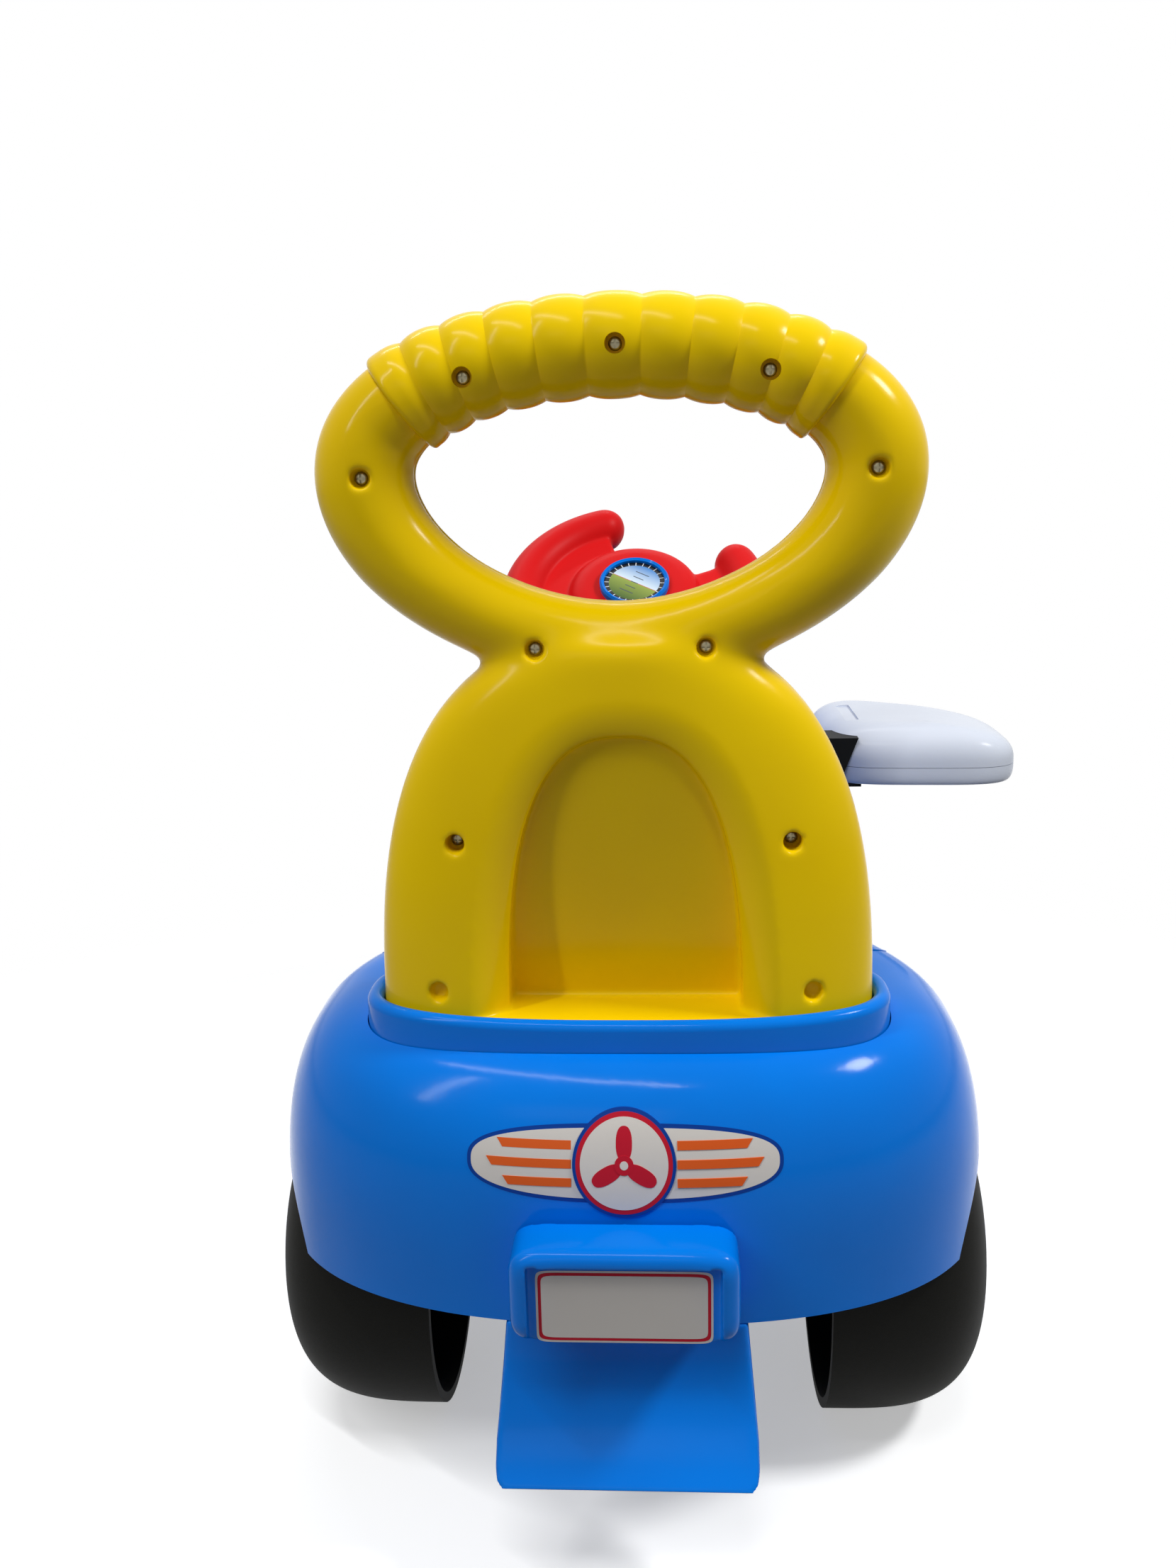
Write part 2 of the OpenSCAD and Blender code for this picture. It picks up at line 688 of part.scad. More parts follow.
function grip_place(p) = [p[0] * ring_half_w, ring_z + p[1] * ring_up];
function back_place(p) = [p[0] * back_half_w, back_base_z + p[1] * back_rise];

// Half of the backrest at one height, from its middle out and back; past opens it beyond the seam
function back_ring(z, off, past) = let (a = back_w(z) - off)
    at_z(flat_ended(concat(quarter(a, back_d(z) - off, back_plan_n, 0, 0), past > 0 ? [[a, past]] : [])),
        z - off * back_share(z));

// Half of the handle's tube at one place round the ring
function tube_ring(t, r, past) = let (c = ring_place(t), u = ring_out(t)) [for (q = concat(
        [for (k = [0 : tube_steps]) let (f = 180 * k / tube_steps) [r * cos(f), -r * sin(f)]],
        past > 0 ? [[-r, past], [r, past]] : []))
    [c[0] + q[0] * u[0], q[1], c[1] + q[0] * u[1]]];

grip_screws = [for (p = grip_screw_shares) grip_place(p)];
back_screws = [for (p = back_screw_shares) back_place(p)];
blind_holes = [for (p = blind_hole_shares) back_place(p)];
all_screws = concat(grip_screws, back_screws);

// Places round the ring, with how far the tube stands out there
rib_step = (rib_to - rib_from) / rib_count;
grip_stations = concat([for (k = [0 : rib_count - 1], s = lobe_shares)
    [rib_from + (k + s[0]) * rib_step, rib_valley + (rib_proud - rib_valley) * s[1]]],
    [[rib_to, rib_valley]]);
plain_arc = turn - (rib_to - rib_from) - 2 * rib_shoulder;
plain_stations = [for (k = [0 : ring_steps]) [rib_to + rib_shoulder + plain_arc * k / ring_steps, 0]];

module half_back(off, past) {
    loft(concat([for (s = back_shares) back_ring(back_base_z + s * back_rise, off, past)],
        [[for (p = back_ring(back_foot_z, off, past)) p + [0, 0, off]]]));
}

module half_handle() {
    half_back(0, 0);
    loop([for (s = concat(grip_stations, plain_stations)) tube_ring(s[0], ring_r(s[0]) + s[1], 0)]);
}

module half_hollow() {
    half_back(shell_t, seam_past);
    loop([for (k = [0 : ring_steps - 1]) let (t = turn * k / ring_steps)
        tube_ring(t, ring_r(t) - shell_t, seam_past)]);
}

module on_seam(places) {
    for (p = places) translate([p[0], 0, p[1]]) rotate([90, 0, 0]) children();
}

// The niche, grown by off, behind its leaning back wall
module niche(off) {
    rear = back_half_d + overrun;
    wall_y = niche_back_y - back_y;
    levels = [[rear, niche_lip], [back_top_d, 0], [-seam_past, 0]];
    difference() {
        rotate([90, 0, 0]) loft([for (l = levels) let (a = niche_half_w + off + l[1])
            at_z(flat_ended(concat([for (k = [0 : arc_steps]) let (t = 90 * k / arc_steps)
                [-a * super_x(t, back_n), back_base_z - (niche_rise + off + l[1]) * super_y(t, back_n)]],
                off > 0 ? [[-a, back_base_z - off]] : [])), l[0])]);
        translate([-far / 2, wall_y + off, back_base_z]) rotate([niche_tilt, 0, 0])
            translate([0, 0, -far / 2]) cube([far, far, far]);
    }
}

module backrest_rear_shell() {
    color(shell_yellow) translate([0, back_y, 0]) difference() {
        union() {
            half_handle();
        }
        difference() {
            union() {
                half_hollow();
            }
            niche(shell_t);
            on_seam(concat(all_screws, blind_holes)) cylinder(r = boss_r, h = far);
        }
        niche(0);
        on_seam(all_screws) translate([0, 0, -overrun]) cylinder(r = screw_r + fit_gap / 2, h = far);
        on_seam(all_screws) translate([0, 0, boss_floor]) cylinder(r = counterbore_r, h = far);
        on_seam(blind_holes) translate([0, 0, blind_floor]) cylinder(r = counterbore_r, h = far);
    }
}

module backrest_front_shell() {
    color(shell_yellow) translate([0, back_y, 0]) mirror([0, 1, 0]) difference() {
        union() {
            half_handle();
        }
        difference() {
            union() {
                half_hollow();
            }
            on_seam(all_screws) cylinder(r = boss_r, h = far);
        }
        on_seam(all_screws) translate([0, 0, -overrun])
            cylinder(r = screw_r + fit_gap / 2, h = overrun + screw_reach + fit_gap);
    }
}

module cross_cut() {
    for (a = [0, 90]) rotate([0, 0, a])
        translate([-head_r / 2, -cross_w / 2, -head_h / 2]) cube([head_r, cross_w, head_h]);
}

module back_screw(p) {
    translate([p[0], back_y - boss_floor - head_h, p[1]]) rotate([-90, 0, 0]) {
        difference() {
            cylinder(r = head_r, h = head_h);
            cross_cut();
        }
        translate([0, 0, head_h]) cylinder(r = screw_r, h = boss_floor + screw_reach);
    }
}

module handle_screws() {
    color(steel_grey) for (p = grip_screws) back_screw(p);
}

module backrest_screws() {
    color(steel_grey) for (p = back_screws) back_screw(p);
}

module deck_collar() {
    mid_z = collar_top_z - collar_t / 2;
    section = concat([[fit_gap, collar_low_z], [fit_gap, mid_z]],
        [for (s = collar_shares) [s[0] * collar_t, collar_top_z - s[1] * collar_t]],
        [[collar_t, mid_z], [collar_t, collar_low_z]]);
    color(body_blue)
        loop([for (k = [len(section) - 1 : -1 : 0]) at_z(collar_outline(section[k][0]), section[k][1])]);
}

// Tail
module plate_block() {
    half_h = (block_top_z - block_low_z) / 2;
    mid_z = block_low_z + half_h;
    color(body_blue) difference() {
        rotate([90, 0, 0]) loft([for (s = concat(block_round * block_edge_shares, [[0, rear_len / 4]]))
            at_z(super_loop(block_half_w - s[0], half_h - s[0], block_n, mid_z, 4 * arc_steps),
                -block_rear_y - s[1])]);
        loft(slab_rings(function (i) body_outline(i - run_gap), rim_z - overrun, round_z, deck_z, round_in));
        translate([-plate_half_w, block_rear_y - overrun, block_low_z - overrun])
            cube([2 * plate_half_w, overrun + plate_depth, plate_top_z - block_low_z + overrun]);
    }
}

module tail_foot() {
    drop = rim_z - foot_low_z;
    rear = [for (s = foot_shares) [foot_y - foot_flare * s * s, rim_z - drop * s]];
    front = [for (k = [len(rear) - 1 : -1 : 1]) rear[k] + [foot_t, foot_t * foot_shares[k] / 3]];
    flange = [[foot_y + foot_t, rim_z - foot_flange_t], [foot_flange_y, rim_z - foot_flange_t],
        [foot_flange_y, rim_z]];
    half = foot_w / 2;
    corner = [for (k = [0 : arc_steps]) let (t = 90 * k / arc_steps)
        [half - foot_corner + foot_corner * sin(t), foot_low_z + foot_corner - foot_corner * cos(t)]];
    color(body_blue) intersection() {
        translate([-half, 0, 0]) rotate([90, 0, 90])
            linear_extrude(height = foot_w) polygon(concat(rear, front, flange));
        rotate([90, 0, 0]) translate([0, 0, -far / 2]) linear_extrude(height = far)
            polygon(concat(corner, [[half, rim_z], [-half, rim_z]],
                [for (k = [arc_steps : -1 : 0]) [-corner[k][0], corner[k][1]]]));
    }
}

// Rear wheels
function wheel_edge(s, off) =
    [(wheel_r - off) * pow(1 - pow(s, wheel_n), 1 / wheel_n), (wheel_w - off) * s];

module rear_axle() {
    color(steel_grey) translate([0, 0, wheel_r]) along_x(-axle_len / 2) cylinder(r = axle_r, h = axle_len);
}

module axle_nut(side) {
    color(steel_grey) on_side(side) translate([0, 0, wheel_r]) along_x(nut_x) difference() {
        cylinder(r = 2 * axle_r, h = head_h / 2);
        translate([0, 0, -overrun]) cylinder(r = axle_r, h = 2 * overrun);
    }
}

module rear_wheel(side) {
    seat_h = wheel_w - cap_depth;
    web_h = (wheel_w - wheel_skin) * wheel_hollow_shares[0];
    bore_r = axle_r + run_gap;
    color(tyre_black) on_side(side) translate([0, 0, wheel_r]) along_x(wheel_in_x)
        rotate_extrude() polygon(concat([[bore_r, 0], [hub_r, 0], [hub_r, web_h]],
            [for (s = wheel_hollow_shares) wheel_edge(s, wheel_skin)],
            [for (s = wheel_shares) wheel_edge(s, 0)],
            [[cap_r, wheel_w], [cap_r, seat_h], [bore_r, seat_h]]));
}

module hub_cap(side) {
    r = cap_r - run_gap;
    rim_h = cap_depth - cap_dome;
    color(shell_yellow) on_side(side) translate([0, 0, wheel_r]) along_x(wheel_in_x + wheel_w - cap_depth)
        rotate_extrude() polygon(concat([[r, 0]],
            [for (s = dome_shares) [s[0] * r, rim_h + s[1] * cap_dome]],
            [[0, rim_h], [r - wall, rim_h], [r - wall, 0]]));
}

// Casters
module at_caster(side) {
    on_side(side) translate([caster_x, caster_y, 0]) children();
}

module caster_fork(side) {
    cheek = [[-caster_trail - 2 * caster_axle_r, caster_r],
        [-caster_trail + 2 * caster_axle_r, caster_r - caster_axle_r],
        [caster_trail / 2, fork_top_z - fork_t], [-caster_trail / 2, fork_top_z - fork_t]];
    color(tyre_black) at_caster(side) difference() {
        union() {
            translate([0, 0, fork_top_z - fork_t]) cylinder(r = cheek_x + fork_t / 2, h = fork_t);
            translate([-cheek_x - fork_t, -caster_trail / 2, fork_top_z - fork_t])
                cube([2 * cheek_x + 2 * fork_t, caster_trail, fork_t]);
            pair() translate([cheek_x, 0, 0]) {
                rotate([90, 0, 90]) linear_extrude(height = fork_t) polygon(cheek);
                translate([0, -caster_trail, caster_r]) along_x(0)
                    cylinder(r = fork_eye_share * caster_axle_r, h = fork_t);
            }
        }
        translate([0, -caster_trail, caster_r]) along_x(-far / 2)
            cylinder(r = caster_axle_r + run_gap, h = far);
        cylinder(r = stem_r, h = far);
    }
}

module caster_stem(side) {
    top_z = rim_z + socket_h + fit_gap;
    color(steel_grey) at_caster(side) {
        translate([0, 0, fork_top_z - fork_t]) cylinder(r = stem_r, h = top_z - fork_top_z + fork_t);
        translate([0, 0, fork_top_z]) cylinder(r = 2 * stem_r, h = rim_z - fork_top_z - fit_gap);
        translate([0, 0, top_z]) cylinder(r = 2 * stem_r, h = head_h);
    }
}

module caster_wheel(side) {
    half = caster_w / 2;
    edge = caster_w / 5;
    color(tyre_black) at_caster(side) translate([0, -caster_trail, caster_r]) along_x(0)
        rotate_extrude() polygon(concat([[caster_axle_r + run_gap, -half], [caster_r - 3 * edge, -half],
            [caster_r - 2 * edge, -half + edge / 2], [caster_r - edge, -half]],
            [for (t = [-90 : 30 : 0]) [caster_r - edge + edge * cos(t), -half + edge + edge * sin(t)]],
            [for (t = [0 : 30 : 90]) [caster_r - edge + edge * cos(t), half - edge + edge * sin(t)]],
            [[caster_r - 2 * edge, half - edge / 2], [caster_r - 3 * edge, half],
            [caster_axle_r + run_gap, half]]));
}

module caster_axle(side) {
    half = cheek_x + fork_t;
    color(steel_grey) at_caster(side) translate([0, -caster_trail, caster_r]) along_x(-half) {
        cylinder(r = caster_axle_r, h = 2 * half);
        for (x = [-head_h, 2 * half]) translate([0, 0, x]) cylinder(r = 2 * caster_axle_r, h = head_h);
    }
}

// Yoke
module on_column() {
    translate([0, yoke_y, yoke_z]) rotate([yoke_lean, 0, 0]) rotate([0, 0, -yoke_turn]) children();
}

// Half of the open rim, with its web, on one side of its middle plane
module yoke_half(up) {
    low = up ? 0 : -rim_tube_r;
    span = turn - yoke_gap;
    rotate([0, 0, 90 + yoke_gap / 2]) {
        rotate_extrude(angle = span) translate([yoke_r, 0]) intersection() {
            circle(r = rim_tube_r);
            translate([-rim_tube_r, low]) square([2 * rim_tube_r, rim_tube_r]);
        }
        rotate_extrude(angle = span) translate([yoke_hub_r - rim_tube_r, up ? 0 : -yoke_web])
            square([yoke_r - yoke_hub_r + rim_tube_r, yoke_web]);
        for (a = [0, span]) rotate([0, 0, a]) translate([yoke_r, 0, 0]) intersection() {
            sphere(r = rim_tube_r + fit_gap);
            translate([-far, -far, up ? 0 : -far]) cube([2 * far, 2 * far, far]);
        }
    }
}

module yoke_front() {
    color(yoke_red) on_column() union() {
        yoke_half(true);
        rotate_extrude() polygon(concat([[0, 0], [yoke_hub_r, 0]],
            [for (s = hub_edge_shares) [yoke_hub_r - s[0] * yoke_hub_h, s[1] * yoke_hub_h]],
            [[0, yoke_hub_h]]));
    }
}

module yoke_back() {
    color(yoke_red) on_column() difference() {
        union() {
            yoke_half(false);
            translate([0, 0, -yoke_back_h]) cylinder(r = yoke_hub_r - wall, h = yoke_back_h);
        }
        translate([0, 0, -far]) cylinder(r = column_r, h = far - wall);
    }
}

module dial_bezel() {
    color(body_blue) on_column() translate([0, 0, yoke_hub_h]) rotate_extrude()
        translate([bezel_r - bezel_w, 0]) polygon([for (s = bezel_shares) [s[0] * bezel_w, s[1] * bezel_h]]);
}

module dial_face() {
    color(wing_white) on_column() translate([0, 0, yoke_hub_h]) cylinder(r = dial_r, h = dial_t);
}

module steering_column() {
    color(steel_grey) on_column() translate([0, 0, -column_len])
        cylinder(r = column_r, h = column_len - wall);
}

module column_bush() {
    color(tyre_black) on_column() difference() {
        union() {
            translate([0, 0, -bush_to]) cylinder(r = bush_r, h = bush_to - bush_from);
            translate([0, 0, -bush_from - wall]) cylinder(r = bush_r + wall, h = wall);
        }
        translate([0, 0, -far / 2]) cylinder(r = column_r + run_gap, h = far);
    }
}

module column_clip() {
    color(steel_grey) on_column() translate([0, 0, -bush_to - fit_gap - leaf_t]) difference() {
        cylinder(r = 2 * column_r, h = leaf_t);
        translate([0, 0, -overrun]) cylinder(r = column_r, h = 2 * overrun);
    }
}

// Propeller
module on_nose(y) {
    translate([0, 0, prop_z]) along_y(y) children();
}

module nose_bearing() {
    depth = nose_in + nose_out;
    inner_r = nose_r - wall;
    color(shell_yellow) on_nose(nose_front_y - depth) rotate_extrude() polygon([
        [shaft_r + run_gap, 0], [2 * shaft_r, 0], [2 * shaft_r, depth - wall],
        [inner_r, depth - wall - nose_out / 2], [inner_r, 0], [nose_r, 0],
        [nose_r, depth - nose_out / 2], [nose_r - nose_out / 2, depth], [shaft_r + run_gap, depth]]);
}

module propeller_shaft() {
    back_y = nose_front_y - nose_in - nose_out - head_h - fit_gap;
    front_y = nose_front_y + turn_gap + prop_hub_h + spinner_h / 2;
    color(steel_grey) on_nose(back_y) {
        cylinder(r = shaft_r, h = front_y - back_y);
        cylinder(r = 2 * shaft_r, h = head_h);
    }
}

module propeller() {
    blade_mid = (prop_hub_r + prop_r) / 2;
    blade_half = prop_r - blade_mid + prop_hub_r / 2;
    color(shell_yellow) on_nose(nose_front_y + turn_gap) difference() {
        union() {
            cylinder(r = prop_hub_r, h = prop_hub_h);
            for (k = [0 : blade_count - 1]) rotate([0, 0, turn * k / blade_count])
                translate([0, 0, prop_hub_h / 2]) rotate([blade_pitch, 0, 0])
                    translate([blade_mid - prop_hub_r / 2, 0, -blade_t / 2]) linear_extrude(height = blade_t)
                        polygon(super_loop(blade_half, blade_half_w, plan_n, 0, 4 * arc_steps));
        }
        translate([0, 0, -overrun]) cylinder(r = shaft_r, h = far);
    }
}

module spinner() {
    r = prop_hub_r;
    color(yoke_red) on_nose(nose_front_y + turn_gap + prop_hub_h) difference() {
        rotate_extrude() polygon(concat([for (k = [0 : arc_steps]) let (t = 90 * k / arc_steps)
            [r * cos(t), spinner_h * sin(t)]], [[0, 0]]));
        translate([0, 0, -overrun]) cylinder(r = shaft_r, h = overrun + spinner_h / 2);
    }
}

// Wings
module at_wing(side) {
    on_side(side) translate([hinge_x, 0, hinge_z]) rotate([0, side < 0 ? left_fold : 0, 0])
        translate([-hinge_x, 0, -hinge_z]) children();
}

// The root fitting's slanted outer end, and a bar of that section along the wing's root
function fitting_x(z) =
    fitting_out_x - fitting_slant * (fitting_top_z - z) / (fitting_top_z - wing_low_z);

module fitting_bar(in_x, low_z, gap, rear_y) {
    top_z = fitting_top_z + gap;
    translate([0, fitting_front_y + gap, 0]) rotate([90, 0, 0])
        linear_extrude(height = fitting_front_y + gap - rear_y) polygon([[in_x, low_z],
            [fitting_x(low_z) + gap, low_z], [fitting_x(top_z) + gap, top_z], [in_x, top_z]]);
}

module fitting_space(gap) {
    fitting_bar(hinge_x, wing_low_z - overrun, gap, wing_rear_y - overrun);
}

module wing_upper(side) {
    slot_x = fitting_out_x - slot_gap;
    color(wing_white) at_wing(side) difference() {
        loft(cup_rings(function (i) wing_outline(i), wing_seam_z, wing_seam_z + lip_h, wing_top_z,
            wing_half_chord / 2, wing_wall));
        fitting_space(run_gap);
        translate([slot_x, fitting_front_y + slot_gap, wing_top_z - wing_wall / 2])
            cube([slot_w, slot_len, far]);
    }
}

module wing_lower(side) {
    color(wing_white) at_wing(side) difference() {
        translate([0, 0, wing_seam_z]) mirror([0, 0, 1])
            loft(cup_rings(function (i) wing_outline(i), 0, lip_h, wing_seam_z - wing_low_z, wing_wall,
                wing_wall));
        fitting_space(run_gap);
    }
}

module lug(k) {
    y = pin_from_y + k * lug_w + (k > 0 ? fit_gap / 2 : 0);
    translate([hinge_x, 0, hinge_z]) along_y(y) cylinder(r = lug_r, h = lug_w - fit_gap);
}

module wing_fitting(side) {
    leaf_z = wing_low_z - wing_leaf_share * leaf_t;
    in_x = wing_root_x + run_gap;
    color(tyre_black) at_wing(side) difference() {
        union() {
            for (k = [0, 2, 4]) {
                lug(k);
                translate([hinge_x, pin_from_y + k * lug_w + fit_gap, leaf_z])
                    cube([2 * lug_r + link_h, lug_w - 2 * fit_gap, wing_low_z - leaf_z]);
            }
            translate([hinge_x + 2 * lug_r, pin_from_y, leaf_z])
                cube([4 * lug_r, pin_len - lug_w / 4, wing_low_z - leaf_z]);
            fitting_bar(in_x, leaf_z, 0, pin_from_y - link_h / 2);
        }
        translate([hinge_x, 0, hinge_z]) along_y(0) cylinder(r = pin_r + run_gap, h = far);
    }
}

module wing_bracket(side) {
    plate_x = nose_half_w + fit_gap / 2;
    link_z = hinge_z + lug_r + turn_gap;
    color(body_blue) on_side(side) difference() {
        union() {
            for (k = [1, 3]) {
                lug(k);
                translate([plate_x, pin_from_y + k * lug_w + fit_gap, hinge_z - lug_r])
                    cube([hinge_x - plate_x, lug_w - 2 * fit_gap, link_z - hinge_z + lug_r + link_h]);
            }
            translate([plate_x, pin_from_y + lug_w + fit_gap, link_z])
                cube([leaf_t, 3 * lug_w - 2 * fit_gap, link_h]);
        }
        translate([hinge_x, 0, hinge_z]) along_y(0) cylinder(r = pin_r + run_gap, h = far);
    }
}

module wing_pin(side) {
    color(steel_grey) on_side(side) translate([hinge_x, 0, hinge_z]) along_y(pin_from_y)
        cylinder(r = pin_r, h = pin_len);
}

body_shell();
floor_pan();
storage_bin();
seat_lid();
seat_leaf_deck();
seat_leaf_lid();
seat_hinge_pin();
cowl();
backrest_rear_shell();
backrest_front_shell();
handle_screws();
backrest_screws();
deck_collar();
plate_block();
tail_foot();
floor_screws();
rear_axle();
axle_nut(-1);  // axle_nut_left
axle_nut(1);  // axle_nut_right
rear_wheel(-1);  // rear_wheel_left
rear_wheel(1);  // rear_wheel_right
hub_cap(-1);  // hub_cap_left
hub_cap(1);  // hub_cap_right
caster_fork(-1);  // caster_fork_left
caster_fork(1);  // caster_fork_right
caster_stem(-1);  // caster_stem_left
caster_stem(1);  // caster_stem_right
caster_wheel(-1);  // caster_wheel_left
caster_wheel(1);  // caster_wheel_right
caster_axle(-1);  // caster_axle_left
caster_axle(1);  // caster_axle_right
yoke_front();
yoke_back();
dial_bezel();
dial_face();
steering_column();
column_bush();
column_clip();
nose_bearing();
propeller_shaft();
propeller();
spinner();
wing_upper(-1);  // wing_upper_left
wing_upper(1);  // wing_upper_right
wing_lower(-1);  // wing_lower_left
wing_lower(1);  // wing_lower_right
wing_fitting(-1);  // wing_fitting_left
wing_fitting(1);  // wing_fitting_right
wing_bracket(-1);  // wing_bracket_left
wing_bracket(1);  // wing_bracket_right
wing_pin(-1);  // wing_pin_left
wing_pin(1);  // wing_pin_right
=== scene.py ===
# %% [markdown]
# # A ride-on aeroplane, dressed for the camera
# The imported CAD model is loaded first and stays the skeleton: every piece made here sits where its solid
# sits and rides on the same moving body. The solids have few facets, so most of what the photograph shows is
# drawn again from the same formulas, with many more steps and softer edges. Other pieces keep their CAD
# shape under a better finish.

# %% Load the frame
import json
import math

import bmesh
import bpy
import numpy as np
from mathutils import Matrix, Vector


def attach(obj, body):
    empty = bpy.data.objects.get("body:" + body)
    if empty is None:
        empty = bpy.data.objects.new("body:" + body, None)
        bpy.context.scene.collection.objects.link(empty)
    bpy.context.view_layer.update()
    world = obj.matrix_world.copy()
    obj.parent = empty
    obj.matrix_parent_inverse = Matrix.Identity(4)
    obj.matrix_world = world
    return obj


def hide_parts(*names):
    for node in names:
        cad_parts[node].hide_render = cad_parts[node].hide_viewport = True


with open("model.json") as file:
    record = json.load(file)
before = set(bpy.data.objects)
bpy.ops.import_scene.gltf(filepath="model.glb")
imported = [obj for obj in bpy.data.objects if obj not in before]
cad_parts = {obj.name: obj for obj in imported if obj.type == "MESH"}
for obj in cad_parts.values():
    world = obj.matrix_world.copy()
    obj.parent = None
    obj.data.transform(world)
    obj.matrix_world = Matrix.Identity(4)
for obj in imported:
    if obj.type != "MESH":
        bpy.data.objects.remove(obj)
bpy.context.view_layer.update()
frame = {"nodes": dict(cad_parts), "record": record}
NODES = frame["nodes"]
MM = 0.001

# %% [markdown]
# ## The camera
# The photograph was taken by hand from behind the toy, a little above its handle. A camera could be turned
# by eye. Here its place, turn and lens came from matching corners of the solids to their places in the
# picture, so shapes can be compared one to one.

# %% Place the camera
scene = bpy.context.scene
VIEW_PLACE = (16.51, -559.79, 399.72)  # mm
VIEW_YAW, VIEW_PITCH, VIEW_ROLL = (math.radians(a) for a in (-3.29, 12.85, -1.27))
VIEW_FOCAL_PX, PICTURE_W, SENSOR_MM = 1984.6, 1659, 36


def show(name, data):
    """Put a camera, a lamp or a mesh into the scene."""
    obj = bpy.data.objects.new(name, data)
    scene.collection.objects.link(obj)
    return obj


flat = math.cos(VIEW_PITCH)
ahead = Vector((math.sin(VIEW_YAW) * flat, math.cos(VIEW_YAW) * flat, -math.sin(VIEW_PITCH)))
level = Vector((math.cos(VIEW_YAW), -math.sin(VIEW_YAW), 0))
upward = level.cross(ahead)
right = math.cos(VIEW_ROLL) * level + math.sin(VIEW_ROLL) * upward
skyward = -math.sin(VIEW_ROLL) * level + math.cos(VIEW_ROLL) * upward

lens = bpy.data.cameras.new("rear_view")
lens.sensor_fit = "HORIZONTAL"
lens.sensor_width = SENSOR_MM
lens.lens = VIEW_FOCAL_PX / PICTURE_W * SENSOR_MM
camera = show("rear_view", lens)
turn = Matrix((right, skyward, -ahead)).transposed().to_4x4()
camera.matrix_world = Matrix.Translation(Vector(VIEW_PLACE) * MM) @ turn
scene.camera = camera
print("lens", round(lens.lens, 1), "mm")

# %% [markdown]
# ## Colours and nodes
# Colours are picked as they look on a screen, but a renderer adds up light, so one function turns hex codes
# into linear values. Shader trees could be wired line by line. A function that adds a node with its settings
# and links at once keeps them short.

# %% Turn colours into light, and add nodes
def linear(code):
    """An sRGB hex colour as linear red, green, blue and alpha."""
    parts = [int(code[k : k + 2], 16) / 255 for k in (1, 3, 5)]
    return tuple(c / 12.92 if c <= 0.04045 else ((c + 0.055) / 1.055) ** 2.4 for c in parts) + (1.0,)


def add(tree, kind, settings=None, links=None):
    """Add a node, set its settings, and set or link its inputs by name or number."""
    node = tree.nodes.new(kind)
    for name, value in (settings or {}).items():
        setattr(node, name, value)
    for key, value in (links or {}).items():
        if isinstance(value, bpy.types.NodeSocket):
            tree.links.new(value, node.inputs[key])
        else:
            node.inputs[key].default_value = value
    return node


def calc(tree, operation, a, b=0.0):
    """A sum on numbers within a shader."""
    return add(tree, "ShaderNodeMath", {"operation": operation}, {0: a, 1: b}).outputs[0]


# %% [markdown]
# ## Light
# The highlights on the plastic are those of long ceiling tubes and a small window to the right. Strong lamps
# could whiten the background too, but they would bleach the plastic. So it is white only to the rays that
# show it, straight, through clear pieces or in a reflection, and the lamps stay low.

# %% Light the studio
FILL, WHITE_LEVEL = 0.13, 1.0


def seen_ray(tree, path):
    """1 for rays that show the background, 0 for those that only carry its light."""
    straight = calc(tree, "MAXIMUM", path.outputs["Is Camera Ray"], path.outputs["Is Transmission Ray"])
    return calc(tree, "MAXIMUM", straight, path.outputs["Is Glossy Ray"])


scene.view_settings.view_transform = "Standard"
world = bpy.data.worlds.new("studio")
scene.world = world
world.use_nodes = True
tree = world.node_tree
tree.nodes.clear()
path = add(tree, "ShaderNodeLightPath")
fill = add(tree, "ShaderNodeBackground", links={"Color": linear("#eef2f8"), "Strength": FILL})
white = add(tree, "ShaderNodeBackground", links={"Color": linear("#ffffff"), "Strength": WHITE_LEVEL})
both = add(tree, "ShaderNodeMixShader",
           links={0: seen_ray(tree, path), 1: fill.outputs[0], 2: white.outputs[0]})
add(tree, "ShaderNodeOutputWorld", links={"Surface": both.outputs[0]})
print("background", WHITE_LEVEL, "in sight,", FILL, "as light")

# %% Hang the lamps
LAMPS = {  # place, aim and size in metres, power in watts
    "ceiling_tube_near": ((-0.4, -0.6, 1.95), (0.0, -0.1, 0.2), (1.5, 0.06), 14),
    "ceiling_tube_far": ((-0.3, 1.2, 1.7), (0.0, 0.2, 0.2), (1.5, 0.06), 6),
    "tube_left": ((-1.1, -0.9, 1.5), (0.0, -0.05, 0.25), (0.06, 1.0), 10),
    "window_right": ((1.05, -0.15, 1.3), (0.1, -0.05, 0.18), (0.3, 0.22), 15),
    "room_behind": ((-0.4, -2.3, 1.7), (0.0, 0.0, 0.25), (1.2, 0.5), 2),
}
for name, (place, aim, (wide, tall), power) in LAMPS.items():
    lamp = bpy.data.lights.new(name, "AREA")
    lamp.shape = "RECTANGLE"
    lamp.size, lamp.size_y, lamp.energy = wide, tall, power
    holder = show(name, lamp)
    turn = (Vector(aim) - Vector(place)).to_track_quat("-Z", "Y").to_matrix().to_4x4()
    holder.matrix_world = Matrix.Translation(place) @ turn
print(len(LAMPS), "lamps")

# %% [markdown]
# ## The floor
# Only a soft shadow ties the toy to its ground, so the floor is a plain pale sheet. A curved backdrop would
# hide the horizon too, but it has to face one camera. This sheet fades to clear away from the toy, which
# works from any side.

